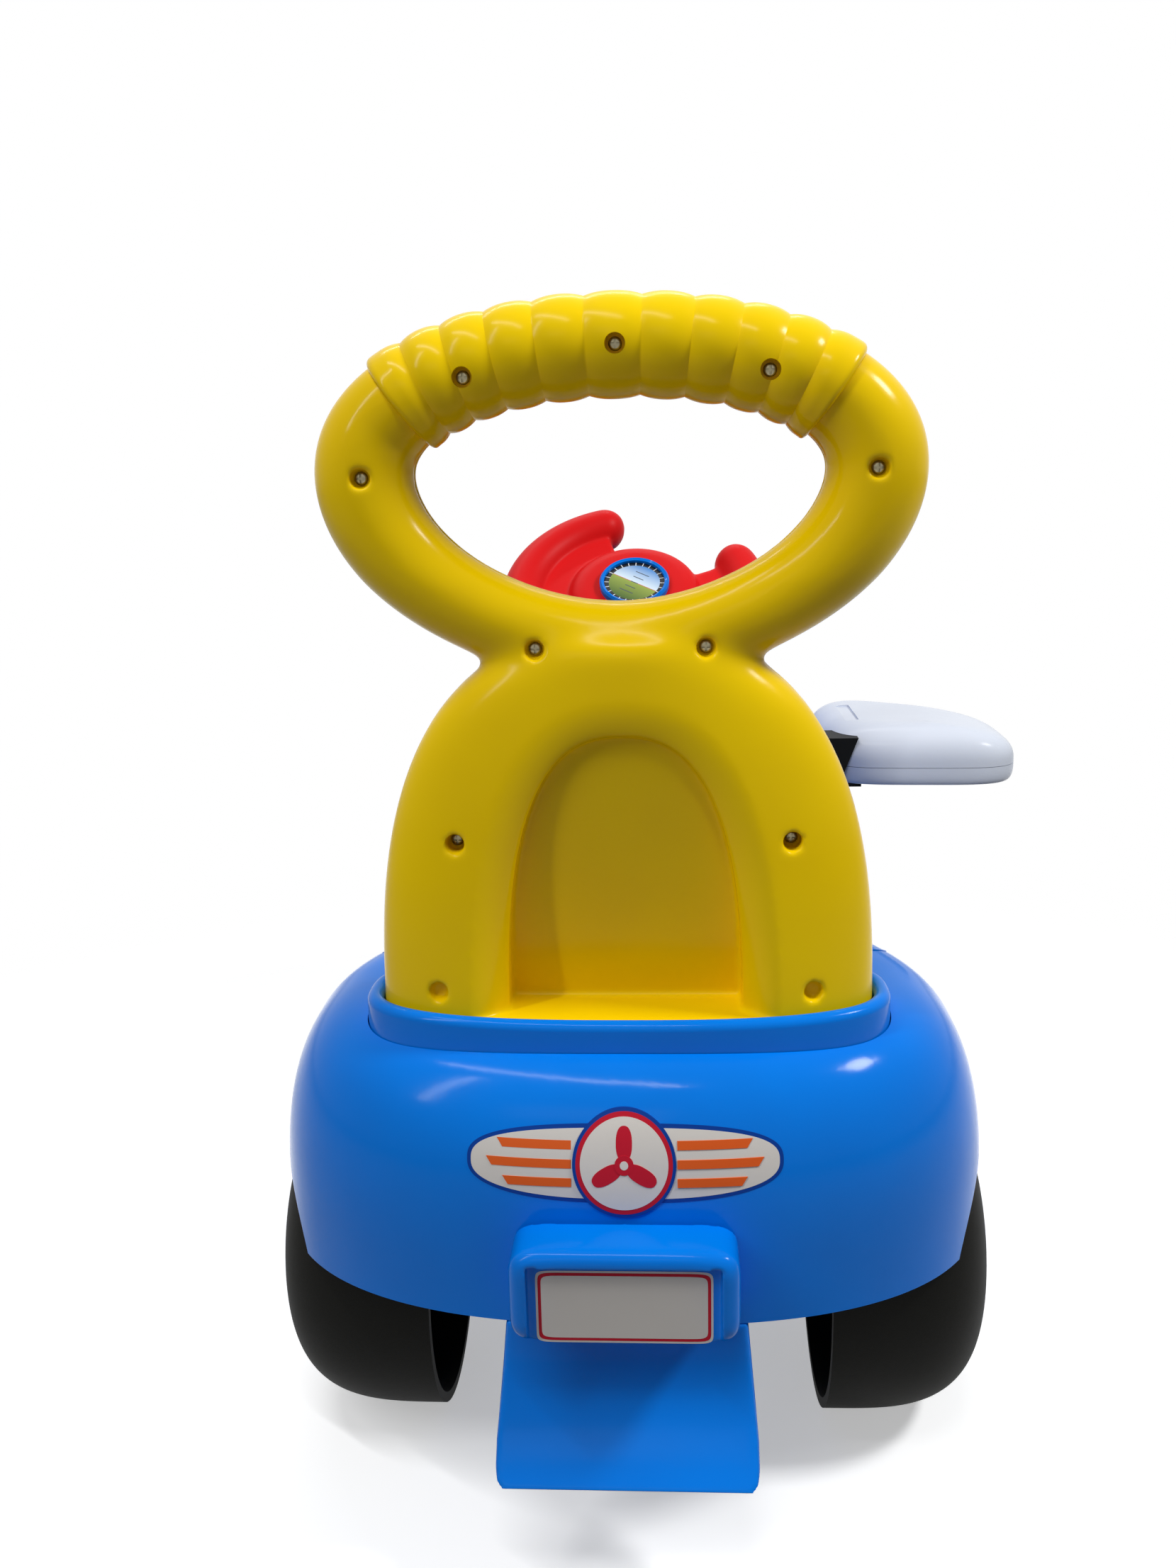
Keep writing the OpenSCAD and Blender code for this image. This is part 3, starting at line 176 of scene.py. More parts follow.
# %% Lay the floor
FLOOR_HALF = 6  # m
sheet = bpy.data.meshes.new("studio_floor")
corners = [(x * FLOOR_HALF, y * FLOOR_HALF, 0) for x, y in ((-1, -1), (1, -1), (1, 1), (-1, 1))]
sheet.from_pydata(corners, [], [(0, 1, 2, 3)])
floor = show("studio_floor", sheet)
print("floor", 2 * FLOOR_HALF, "m wide")

# %% Paint the floor
FLOOR_GLOW, FADE_FROM, FADE_TO = 0.42, 0.3, 0.75  # the last two in metres from the toy


def blank(name):
    """A new material, its emptied tree, and the place on the object in metres."""
    skin = bpy.data.materials.new(name)
    skin.use_nodes = True
    tree = skin.node_tree
    tree.nodes.clear()
    return skin, tree, add(tree, "ShaderNodeTexCoord").outputs["Object"]


def cover(tree, shader):
    """Let a shader be the surface of its material."""
    add(tree, "ShaderNodeOutputMaterial", links={"Surface": shader.outputs[0]})


def ramp(tree, fac, low, high, first=0.0, last=1.0):
    """A colour that runs from one hex code to another."""
    node = add(tree, "ShaderNodeValToRGB", links={"Fac": fac})
    for stop, spot, code in zip(node.color_ramp.elements, (first, last), (low, high)):
        stop.position, stop.color = spot, linear(code)
    return node.outputs["Color"]


paint, tree, place = blank("studio_paint")
path = add(tree, "ShaderNodeLightPath")
mottle = add(tree, "ShaderNodeTexNoise", links={"Vector": place, "Scale": 3.0, "Detail": 2.0})
tone = ramp(tree, mottle.outputs["Fac"], "#f1f2f3", "#f8f8f8")
matt = add(tree, "ShaderNodeBsdfPrincipled", links={"Base Color": tone, "Roughness": 0.9})
glow = add(tree, "ShaderNodeEmission", links={"Color": linear("#ffffff"), "Strength": FLOOR_GLOW})
lit = add(tree, "ShaderNodeAddShader", links={0: matt.outputs[0], 1: glow.outputs[0]})
# Diffuse light from below is that of a grey floor, so the plastic keeps its depth of colour
dull = add(tree, "ShaderNodeBsdfDiffuse", links={"Color": linear("#848484")})
kept = add(tree, "ShaderNodeMixShader",
           links={0: seen_ray(tree, path), 1: dull.outputs[0], 2: lit.outputs[0]})
away = add(tree, "ShaderNodeVectorMath", {"operation": "LENGTH"}, {0: place})
fade = add(tree, "ShaderNodeMapRange", {"interpolation_type": "SMOOTHSTEP"},
           {"Value": away.outputs["Value"], 1: FADE_FROM, 2: FADE_TO, 3: 0.0, 4: 1.0})
gone = calc(tree, "MULTIPLY", fade.outputs[0], path.outputs["Is Camera Ray"])
clear = add(tree, "ShaderNodeBsdfTransparent")
mixed = add(tree, "ShaderNodeMixShader", links={0: gone, 1: kept.outputs[0], 2: clear.outputs[0]})
cover(tree, mixed)
sheet.materials.append(paint)
print("floor fades by", FADE_TO, "m")

# %% [markdown]
# ## Moulded plastic
# The big pieces are injection-moulded polypropylene: coloured right through, polished by the mould, with a
# soft sheen. The eye reads it by uneven highlights, a faint orange-peel ripple, and a colour that drifts a
# little. One function makes all the colours, so they share one surface.

# %% Mould the plastics
PEEL_MM, DRIFT_MM, GRIT_MM = 3.5, 90.0, 0.45
PEEL_STRENGTH, PEEL_HEIGHT, GRIT_HEIGHT = 0.05, 0.0006, 0.0002
PLASTIC_IOR, SHEEN, SHINIER, DULLER = 1.49, 0.08, 0.04, 0.05
MID_LOW, MID_HIGH = 0.3, 0.7  # where most of a noise's values lie


def noise(tree, place, size_mm, detail):
    return add(tree, "ShaderNodeTexNoise",
               links={"Vector": place, "Scale": 1 / (size_mm * MM), "Detail": detail}).outputs["Fac"]


def moulded(name, code, deep_code, rough, grit):
    """Polypropylene from a polished mould; grit is how much of a spark-eroded grain it has."""
    skin, tree, place = blank(name)
    drift = noise(tree, place, DRIFT_MM, 3.0)
    colour = ramp(tree, drift, deep_code, code, MID_LOW, MID_HIGH)
    gloss = add(tree, "ShaderNodeMapRange",
                links={"Value": drift, 1: MID_LOW, 2: MID_HIGH, 3: rough - SHINIER, 4: rough + DULLER})
    peel = noise(tree, place, PEEL_MM, 1.0)
    ripple = add(tree, "ShaderNodeBump",
                 links={"Height": peel, "Strength": PEEL_STRENGTH, "Distance": PEEL_HEIGHT})
    grain = noise(tree, place, GRIT_MM, 2.0)
    surface = add(tree, "ShaderNodeBump", links={"Height": grain, "Strength": grit, "Distance": GRIT_HEIGHT,
                                                 "Normal": ripple.outputs[0]})
    body = add(tree, "ShaderNodeBsdfPrincipled",
               links={"Base Color": colour, "Roughness": gloss.outputs[0], "IOR": PLASTIC_IOR,
                      "Specular IOR Level": SHEEN, "Normal": surface.outputs[0]})
    cover(tree, body)
    return skin


BLUE = moulded("blue_polypropylene", "#007ae4", "#0072d8", 0.13, 0.02)
YELLOW = moulded("yellow_polypropylene", "#f0cb02", "#e8c002", 0.17, 0.02)
RED = moulded("red_polypropylene", "#d4181a", "#ca1416", 0.45, 0.06)
WHITE = moulded("white_polypropylene", "#d6dce7", "#ced4e0", 0.24, 0.03)
BLACK = moulded("black_polyethylene", "#0f0f0c", "#0a0a08", 0.62, 0.35)
# Painted shade: small parts that sit in shade get this near-black finish, which stands for the dark gaps and
# shadow around them as well as their own dark plastic
SHADE_BLACK = moulded("painted_shade_black", "#111212", "#0c0d0d", 0.5, 0.2)
print("plastics ripple at", PEEL_MM, "mm")

# %% [markdown]
# ## Zinc-plated steel
# The axle, pins, hinge leaves and screws are mild steel with a zinc coat, bright on the pins and dulled on
# the screws. Drawn wire leaves fine lines along a shaft, and the coat has a faint cloudy bloom, so the
# roughness varies while the colour stays nearly even. Each CAD node then gets the finish that its record
# names, apart from the small parts that sit in shade, which get a near-black finish with painted shade.

# %% Plate the steel
LINE_MM, BLOOM_MM = 0.4, 6.0
LINE_STRETCH, LINE_STRENGTH, LINE_HEIGHT = 0.05, 0.12, 0.0001
BRIGHT_ROUGH, CLOUDY_ROUGH = 0.28, 0.42


def plated(name, dark, bright):
    """Zinc on drawn steel, between a dark and a bright tone."""
    skin, tree, place = blank(name)
    bloom = noise(tree, place, BLOOM_MM, 4.0)
    stretch = add(tree, "ShaderNodeMapping", links={"Vector": place, "Scale": (LINE_STRETCH, 1.0, 1.0)})
    lines = noise(tree, stretch.outputs[0], LINE_MM, 2.0)
    rough = add(tree, "ShaderNodeMapRange",
                links={"Value": bloom, 1: MID_LOW, 2: MID_HIGH, 3: BRIGHT_ROUGH, 4: CLOUDY_ROUGH})
    drawn = add(tree, "ShaderNodeBump",
                links={"Height": lines, "Strength": LINE_STRENGTH, "Distance": LINE_HEIGHT})
    metal = add(tree, "ShaderNodeBsdfPrincipled",
                links={"Base Color": ramp(tree, bloom, dark, bright), "Metallic": 1.0,
                       "Roughness": rough.outputs[0], "Normal": drawn.outputs[0]})
    cover(tree, metal)
    return skin


STEEL = plated("zinc_plated_steel", "#a9adb3", "#c3c6ca")
SCREW_STEEL = plated("dulled_screw_steel", "#77705a", "#9d957b")
print("steel has lines of", LINE_MM, "mm")

# %% Give each CAD node its finish
FINISH = {"blue_plastic": BLUE, "yellow_plastic": YELLOW, "red_plastic": RED,
          "white_plastic": WHITE, "black_plastic": BLACK, "steel": STEEL}
# The column bush, the caster forks and the wing root fittings sit in shade; their near-black finish is
# painted shade as well as their own dark plastic
SHADE_BLACK_NODES = ("column_bush", "caster_fork_left", "caster_fork_right",
               "wing_fitting_left", "wing_fitting_right")
RECORD = frame["record"]
SLOT_OF = {part["node"]: part["material_slot"] for part in RECORD["subparts"]}
BODY_OF = {node: body for body, members in RECORD["behaviour"]["bodies"].items() for node in members}
for name, obj in NODES.items():
    obj.data.materials.clear()
    obj.data.materials.append(SHADE_BLACK if name in SHADE_BLACK_NODES else FINISH[SLOT_OF[name]])
print("finishes on", len(NODES), "nodes")

# %% [markdown]
# ## Rounded outlines
# The mouldings have no straight box edges. Their outlines are superellipses, which sit between an ellipse
# and a rectangle, and their top edges roll over on the same kind of curve. Bevels on a box would come close,
# but these few functions draw the very curves that the solids have.

# %% Draw outlines
PLAN_N, ROUND_N = 2.45, 2.5  # powers of the curves: 2 is an ellipse, more is squarer


def sweep(a, b, n, first, last, steps):
    """Points on a superellipse between two angles, from the rear and turning to the right."""
    t = np.radians(np.linspace(first, last, steps + 1))
    s, c = np.sin(t), np.cos(t)
    return np.stack([a * np.sign(s) * np.abs(s) ** (2 / n), -b * np.sign(c) * np.abs(c) ** (2 / n)], axis=1)


def both_sides(half):
    """A half outline that starts and ends on the middle line, with its mirror image."""
    return np.concatenate([half, half[-2:0:-1] * (-1, 1)])


def at_height(outline, z):
    """An outline seen from above, as a level ring."""
    return np.column_stack([outline, np.full(len(outline), z)])


def upright(outline, y):
    """An outline seen from behind, as an upright ring."""
    return np.column_stack([outline[:, 0], np.full(len(outline), y), outline[:, 1]])


def around(steps):
    """Angles once round a circle."""
    return np.linspace(0, 2 * math.pi, steps, endpoint=False)


def quarter(steps):
    """Angles of a quarter turn, with both ends."""
    return np.linspace(0, math.pi / 2, steps + 1)


# %% Make a mesh from rings
def placed(name, mesh):
    """Turn a mesh's faces outward and put it in the scene."""
    made = bmesh.new()
    made.from_mesh(mesh)
    bmesh.ops.recalc_face_normals(made, faces=made.faces)
    made.to_mesh(mesh)
    made.free()
    return show(name, mesh)


def mesh_piece(name, rings, ends=True):
    """A mesh through rings in millimetres, closed at both ends or joined last to first."""
    count, size = len(rings), len(rings[0])
    faces = []
    for j in range(count - 1 if ends else count):
        a, b = j * size, (j + 1) % count * size
        faces += [(a + i, b + i, b + (i + 1) % size, a + (i + 1) % size) for i in range(size)]
    if ends:
        faces += [tuple(range(size)), tuple(range(count * size - 1, (count - 1) * size - 1, -1))]
    mesh = bpy.data.meshes.new(name)
    mesh.from_pydata((np.concatenate(rings) * MM).tolist(), [], faces)
    return placed(name, mesh)


# %% [markdown]
# ## Cutting and softening
# A mould leaves no knife edges. Bevels need clean loops of edges, which boolean cuts destroy, so a form is
# cut first, then remade in small even faces and relaxed, which turns every edge into a fillet.

# %% Cut, join and soften
def apply(obj):
    """Turn the modifiers of an object into its mesh."""
    view = bpy.context.evaluated_depsgraph_get()
    made = bpy.data.meshes.new_from_object(obj.evaluated_get(view))
    obj.modifiers.clear()
    obj.data = made
    return obj


def carve(obj, tools, how="DIFFERENCE"):
    """Take tools out of obj, join them to it or keep what they share, and throw the tools away."""
    for tool in tools:
        step = obj.modifiers.new("carve", "BOOLEAN")
        step.operation, step.solver, step.object = how, "MANIFOLD", tool
        apply(obj)
        bpy.data.objects.remove(tool)
    return obj


def relax(obj, passes, weight=None):
    """Pull every corner towards its neighbours, as far as weight(place in mm) lets it move."""
    mesh = obj.data
    place = np.empty(len(mesh.vertices) * 3)
    mesh.vertices.foreach_get("co", place)
    place = place.reshape(-1, 3)
    ends = np.empty(len(mesh.edges) * 2, int)
    mesh.edges.foreach_get("vertices", ends)
    a, b = ends[::2], ends[1::2]
    size = len(place)
    count = np.bincount(a, minlength=size) + np.bincount(b, minlength=size)
    pull = 0.5 if weight is None else 0.5 * weight(place / MM)[:, None]
    for _ in range(passes):
        near = np.stack([np.bincount(a, place[b, k], size) + np.bincount(b, place[a, k], size)
                         for k in range(3)], axis=1)
        place = place + pull * (near / count[:, None] - place)
    mesh.vertices.foreach_set("co", place.ravel())
    mesh.update()
    return obj


def soften(obj, voxel_mm, passes):
    """Remake a mesh in even small faces and relax it, which rounds every edge as a mould does."""
    grid = obj.modifiers.new("grid", "REMESH")
    grid.mode, grid.voxel_size, grid.use_smooth_shade = "VOXEL", voxel_mm * MM, True
    return relax(apply(obj), passes)


# %% Make cutting tools and dress a piece
SHARP = math.radians(38)  # edges turned by more stay crisp
FAR = 200.0  # mm, past every piece that the tools cut


def block(low, high):
    """A box between two corners, as a cutting tool."""
    (x0, y0, z0), (x1, y1, z1) = low, high
    square = np.array([(x0, y0), (x1, y0), (x1, y1), (x0, y1)], float)
    return mesh_piece("tool", [at_height(square, z1), at_height(square, z0)])


def rod(start, end, radius, steps=96):
    """A round bar from one point to another, as a cutting tool."""
    axis = Vector(end) - Vector(start)
    turn = np.array(axis.to_track_quat("Z", "Y").to_matrix())
    circle = np.array([(radius * math.cos(a), radius * math.sin(a), 0) for a in around(steps)])
    return mesh_piece("tool", [circle @ turn.T + end, circle @ turn.T + start])


def prism(outline, low, high):
    """An upright bar with the given outline, as a cutting tool."""
    return mesh_piece("tool", [at_height(outline, high), at_height(outline, low)])


def dress(obj, skin, node, *others):
    """Shade a piece, give it its finish, and let it stand for its CAD nodes."""
    obj.data.materials.clear()
    obj.data.materials.append(skin)
    obj.data.polygons.foreach_set("use_smooth", [True] * len(obj.data.polygons))
    obj.data.set_sharp_from_angle(angle=SHARP)
    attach(obj, BODY_OF[node])
    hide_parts(node, *others)
    print(obj.name, len(obj.data.polygons), "faces")
    return obj


# %% [markdown]
# ## The body shell
# The body is one deep, open-bottomed moulding: wide over the rear wheels, pinched at the waist where the
# rider's legs go, wide again at the nose. Its rim is level, its sides roll over into the deck, and holes are
# left for the seat, the collar, the cowl and the wheels. A loft through many level outlines gives the roll
# without a crease.

# %% Draw the body's outline
REAR_W, REAR_LEN, WAIST_W, NOSE_W, NOSE_LEN = 144.5, 105.5, 84.0, 97.0, 100.0
SHOULDER_Y, WAIST_Y, SADDLE_Y, NOSE_Y = 8.0, 150.0, 195.0, 335.0
RIM_Z, ROUND_Z, DECK_Z, ROUND_IN, WALL = 94.0, 111.0, 190.0, 44.0, 3.0


def ease(u):
    u = np.clip(u, 0, 1)
    return u * u * (3 - 2 * u)


def side_w(y):
    """Half the body's width at a place along it."""
    y = np.asarray(y, float)
    return (REAR_W - (REAR_W - WAIST_W) * ease((y - SHOULDER_Y) / (WAIST_Y - SHOULDER_Y))
            + (NOSE_W - WAIST_W) * ease((y - SADDLE_Y) / (NOSE_Y - SADDLE_Y)))


def flank(y0, y1, inset, steps):
    """The side's outline between two places, without its ends."""
    y = np.linspace(y0, y1, steps + 1)[1:-1]
    return np.column_stack([side_w(y) - inset, y])


def body_outline(inset):
    return both_sides(np.concatenate([
        sweep(REAR_W - inset, REAR_LEN - inset, PLAN_N, 0, 90, 48), flank(0, NOSE_Y, inset, 72),
        sweep(NOSE_W - inset, NOSE_LEN - inset, PLAN_N, 90, 180, 32) + (0, NOSE_Y)]))


def body_in(z):
    """How far the rolled wall has come in at a height."""
    share = max(0.0, (z - ROUND_Z) / (DECK_Z - ROUND_Z))
    return ROUND_IN * (1 - (1 - share**ROUND_N) ** (1 / ROUND_N))


print("body", len(body_outline(0)), "points round")

# %% Draw the outlines of the seat, the collar and the cowl
SEAT_REAR, SEAT_FRONT, SEAT_CORNER, CORNER_N = 16.0, 168.0, 34.0, 3
FRONT_CORNER = 0.8 * SEAT_CORNER
BACK_Y, BACK_W, BACK_D, BACK_PLAN_N, COLLAR_T = -36.0, 95.5, 34.0, 2.6, 7.0
COWL_Y, COWL_CORNER, NOSE_LEAN = 226.0, 56.0, 1.9


def seat_outline(side_in, inset, grow):
    y0, y1 = SEAT_REAR - grow + SEAT_CORNER, SEAT_FRONT + grow - FRONT_CORNER
    return both_sides(np.concatenate([
        sweep(side_w(y0) - side_in - inset, SEAT_CORNER - inset, CORNER_N, 0, 90, 24) + (0, y0),
        flank(y0, y1, side_in + inset, 40),
        sweep(side_w(y1) - side_in - inset, FRONT_CORNER - inset, CORNER_N, 90, 180, 20) + (0, y1)]))


def collar_outline(grow):
    return both_sides(sweep(BACK_W + grow, BACK_D + grow, BACK_PLAN_N, 0, 180, 96)) + (0, BACK_Y)


def cowl_outline(inset):
    y0 = COWL_Y + COWL_CORNER
    return both_sides(np.concatenate([
        sweep(side_w(y0) - inset, COWL_CORNER - inset, CORNER_N, 0, 90, 28) + (0, y0),
        flank(y0, NOSE_Y, inset, 24),
        sweep(NOSE_W - inset, NOSE_LEN - NOSE_LEAN * inset, PLAN_N, 90, 180, 32) + (0, NOSE_Y)]))


print("cowl", len(cowl_outline(0)), "points round")

# %% Loft the body shell
SEAM_Z, COWL_SEAM, COLLAR_HOLE, ABOVE = 179.0, 128.0, 170.0, 300.0
GAP, GROOVE = 0.4, 1.2
WHEEL_R, ARCH_R, ARCH_IN = 71.0, 64.0, 85.0


def cup(name, outline, low, start, top, inset, wall, steps=30):
    """An open-bottomed moulding whose walls roll in from start to top."""
    roll = [(math.sin(a) ** (2 / ROUND_N), 1 - max(math.cos(a), 0) ** (2 / ROUND_N)) for a in quarter(steps)]
    outer = [at_height(outline(inset * i), start + (top - start) * h) for h, i in roll]
    inner = [at_height(outline(wall + inset * i), start + (top - start) * h - wall * h) for h, i in roll]
    return mesh_piece(name, outer[::-1] + [at_height(outline(0), low), at_height(outline(wall), low)] + inner)


body = cup("body_shell_skin", body_outline, RIM_Z, ROUND_Z, DECK_Z, ROUND_IN, WALL)
carve(body, [
    prism(seat_outline(body_in(SEAM_Z) - GROOVE / 2, 0, GROOVE / 2), SEAM_Z, ABOVE),
    prism(collar_outline(COLLAR_T + GAP), COLLAR_HOLE, ABOVE),
    prism(cowl_outline(body_in(COWL_SEAM) - GAP), COWL_SEAM, ABOVE),
    rod((ARCH_IN, 0, WHEEL_R), (FAR, 0, WHEEL_R), ARCH_R),
    rod((-FAR, 0, WHEEL_R), (-ARCH_IN, 0, WHEEL_R), ARCH_R)])
dress(body, BLUE, "body_shell")

# %% [markdown]
# ## The seat lid
# The lid over the storage bin lies flush with the body's shoulders, behind a fine groove, and a low panel
# rises where one sits. It is cut out of a second copy of the body's own loft, so the two surfaces run on
# without a step.

# %% Cut the lid
SEAT_TOP, PANEL_IN = 191.5, 22.0
# Inset and height round the panel's edge
PANEL_EDGE = ((2.5, SEAT_TOP), (1.2, SEAT_TOP - 0.3), (0.4, SEAT_TOP - 0.9), (0, DECK_Z - 1))
side_in = body_in(SEAM_Z) + GROOVE / 2
lid = cup("seat_lid_skin", body_outline, RIM_Z, ROUND_Z, DECK_Z, ROUND_IN, WALL)
carve(lid, [prism(seat_outline(side_in, 0, -GROOVE / 2), SEAM_Z, ABOVE)], "INTERSECT")
panel = [at_height(seat_outline(side_in + PANEL_IN, i, -GROOVE / 2), z) for i, z in PANEL_EDGE]
carve(lid, [mesh_piece("tool", panel)], "UNION")
dress(lid, BLUE, "seat_lid")

# %% [markdown]
# ## Cowl and collar
# The cowl, which carries the yoke and the wings, is another cup of the same blue plastic. The collar hides
# the joint under the backrest. It could be cut from a block, but a rounded section carried round its outline
# has the soft edge at once.

# %% Loft the cowl
COWL_ROUND_Z, COWL_TOP, COWL_IN = 205.0, 285.0, 46.0
YOKE, LEAN = Vector((0, 212, 327)), math.radians(36)
COLUMN = Vector((0, -math.sin(LEAN), math.cos(LEAN)))
BUSH_R, BUSH_LOW, BUSH_TOP = 12.4, 110, 6  # low and top lie down the column from the yoke
NOSE_HOLE, NOSE_HOLE_R = Vector((0, NOSE_Y, 185)), 38.4
cowl = cup("cowl_skin", lambda i: cowl_outline(body_in(COWL_SEAM) + i),
           COWL_SEAM, COWL_ROUND_Z, COWL_TOP, COWL_IN, WALL)
carve(cowl, [rod(YOKE - BUSH_LOW * COLUMN, YOKE - BUSH_TOP * COLUMN, BUSH_R),
             rod(NOSE_HOLE, NOSE_HOLE + Vector((0, FAR, 0)), NOSE_HOLE_R)])
dress(cowl, BLUE, "cowl")

# %% Sweep the collar
COLLAR_LOW, COLLAR_Z, COLLAR_CROWN = 182.0, 195.5, 3.5
crown = [(GAP + (COLLAR_T - GAP) / 2 * (1 - math.cos(a)), COLLAR_Z + COLLAR_CROWN * math.sin(a))
         for a in np.linspace(0, math.pi, 17)]
section = [(GAP, COLLAR_LOW)] + crown + [(COLLAR_T, COLLAR_LOW)]
collar = mesh_piece("deck_collar_skin", [at_height(collar_outline(g), z) for g, z in section], ends=False)
dress(collar, BLUE, "deck_collar")

# %% [markdown]
# ## The backrest and its handle
# Two yellow half-shells meet in one upright plane: a back that narrows upward and a ring to push by, with a
# ribbed grip. Joining a lofted back and a swept ring leaves a hard crease at the neck, where the real
# moulding has a soft fillet, so the joined form is softened there. The grip's lobes need sharp valleys, so
# the grip is a sleeve of its own that joins each half after the softening.

# %% Loft the back
BASE_Z, RISE, TOP_D, FOOT_Z, BACK_N, LAST_ANGLE = 196.0, 144.6, 20.0, 176.0, 2.5, 76


def back_size(z):
    """Half width and half depth of the back at a height."""
    s = max(0.0, (z - BASE_Z) / RISE)
    return BACK_W * (1 - s**BACK_N) ** (1 / BACK_N), BACK_D - (BACK_D - TOP_D) * s


def back_form():
    """The whole back, without its ring."""
    shares = np.sin(np.linspace(math.radians(LAST_ANGLE), 0, 48))
    rings = []
    for z in [BASE_Z + s * RISE for s in shares] + [FOOT_Z]:
        wide, deep = back_size(z)
        rings.append(at_height(both_sides(sweep(wide, deep, BACK_PLAN_N, 0, 180, 96)) + (0, BACK_Y), z))
    return mesh_piece("back_form", rings)


# %% Sweep the ring and its ribbed grip
RING_Z, RING_W, RING_UP, RING_DOWN, UP_N, DOWN_N = 396.0, 93.0, 44.5, 62.0, 2.14, 1.85
TUBE_R, TUBE_SWELL, TUBE_STEPS, RING_STEPS, LOBE_STEPS = 16.0, 2.4, 96, 720, 36
RIBS, RIB_FROM, RIB_TO, RIB_PROUD = 11, 34.0, 147.0, 2.6
VALLEY, VALLEY_STEEP, END_VALLEY, END_STEEP = 1.2, 2.2, 0.2, 8


def power(v, n):
    return np.sign(v) * np.abs(v) ** n


def ring_at(t):
    """Middle of the tube and its outward direction, at an angle round the egg-shaped ring."""
    c, s = math.cos(math.radians(t)), math.sin(math.radians(t))
    tall, n = (RING_DOWN, DOWN_N) if s < 0 else (RING_UP, UP_N)
    middle = np.array([RING_W * power(c, 2 / n), RING_Z + tall * power(s, 2 / n)])
    out = np.array([tall * power(c, 2 - 2 / n), RING_W * power(s, 2 - 2 / n)])
    return middle, out / np.linalg.norm(out)


def lift(t):
    """How far the grip stands out of the tube: round lobes with a sharp valley between them."""
    u = (t - RIB_FROM) / (RIB_TO - RIB_FROM) * RIBS
    at_end = u < 0.5 or u > RIBS - 0.5
    low, steep = (END_VALLEY, END_STEEP) if at_end else (VALLEY, VALLEY_STEEP)
    return low + (RIB_PROUD - low) * (1 - abs(2 * (u % 1) - 1) ** steep)


def tube(t, proud):
    """One round section of the tube, standing proud by some mm."""
    middle, out = ring_at(t)
    r = TUBE_R + TUBE_SWELL * math.cos(math.radians(t)) ** 4 + proud
    f = around(TUBE_STEPS)
    q, y = r * np.cos(f), r * np.sin(f)
    return np.column_stack([middle[0] + q * out[0], BACK_Y + y, middle[1] + q * out[1]])


def ring_form():
    turns = np.linspace(0, 360, RING_STEPS, endpoint=False)
    return mesh_piece("ring_form", [tube(t, 0) for t in turns], ends=False)


def grip_sleeve():
    turns = np.linspace(RIB_FROM, RIB_TO, RIBS * LOBE_STEPS + 1)
    return mesh_piece("tool", [tube(t, lift(t)) for t in turns])


print("ring", round(2 * (RING_W + TUBE_R + TUBE_SWELL)), "mm wide")

# %% [markdown]
# ## The niche and the screw holes
# The back has a niche with a flat ledge, a leaning rear wall and a mouth that rolls in softly. A straight
# cut would leave a sharp mouth, so the cutting tool follows the back's own surface and sinks in along a
# curve. Round tools cut the screw holes, each to a floor of its own.

# %% Shape the niche
NICHE_W, NICHE_RISE, NICHE_Y, NICHE_TILT = 44.5, 106.0, -40.0, math.radians(7)
FLARE, FLARE_SINK, FLARE_STEPS, FLARE_START = 17.0, 0.48, 14, -0.02
MOUTH_OUT, NICHE_END = 60, -30


def niche_ring(out, sink):
    """A loop outside the niche's edge by some mm, sunk by a share of the niche's depth there."""
    half = sweep(NICHE_W + out, NICHE_RISE + out, BACK_N, 90, 180, 48)
    ring = []
    for x, up in np.concatenate([half, half[-2::-1] * (-1, 1)]):
        wide, deep = back_size(BASE_Z + up)
        rear = BACK_Y - deep * (1 - abs(x / wide) ** BACK_PLAN_N) ** (1 / BACK_PLAN_N)
        wall = NICHE_Y - math.tan(NICHE_TILT) * up
        ring.append((x, rear + sink * (wall - rear), BASE_Z + up))
    return np.array(ring)


def niche_tool():
    """The hollow of the niche, whose mouth rolls in from the back's rear face."""
    rings = [niche_ring(FLARE * (1 - t), FLARE_SINK * t * t + FLARE_START)
             for t in np.linspace(0, 1, FLARE_STEPS)]
    mouth = rings[0] - (0, MOUTH_OUT, 0)
    end = rings[-1] * (1, 0, 1) + (0, NICHE_END, 0)
    hollow = mesh_piece("tool", [mouth] + rings + [end])
    wall = block((-FAR, 0, -FAR), (FAR, FAR, FAR))
    lean = Matrix.Rotation(NICHE_TILT, 4, "X")
    wall.data.transform(Matrix.Translation((0, NICHE_Y * MM, BASE_Z * MM)) @ lean)
    return carve(hollow, [wall])


print("niche", 2 * NICHE_W, "mm wide")

# %% Place the screw holes
HOLE_R, HOLE_FROM = 3.6, -150
# Share of the half width, the hole's floor in mm, and share of the height
RING_HOLES = ((0, -49.5, 0.985), (0.576, -49.5, 0.76), (-0.576, -49.5, 0.76),
              (0.985, -49.0, 0), (-0.985, -49.0, 0))
BACK_HOLES = ((0.326, -47.5, 0.953), (-0.326, -47.5, 0.953), (0.654, -49.5, 0.46), (-0.654, -49.5, 0.46))
BLIND_HOLES = ((0.737, -57.5, 0.066), (-0.737, -57.5, 0.066))
HANDLE_SCREWS = [(x * RING_W, y, RING_Z + z * RING_UP) for x, y, z in RING_HOLES]
BACK_SCREWS = [(x * BACK_W, y, BASE_Z + z * RISE) for x, y, z in BACK_HOLES]
BLIND = [(x * BACK_W, y, BASE_Z + z * RISE) for x, y, z in BLIND_HOLES]
ON_GRIP, ON_SIDES = HANDLE_SCREWS[:3], HANDLE_SCREWS[3:]


def holes(places):
    return [rod((x, HOLE_FROM, z), (x, y, z), HOLE_R, 64) for x, y, z in places]


print(len(HANDLE_SCREWS + BACK_SCREWS), "screws")

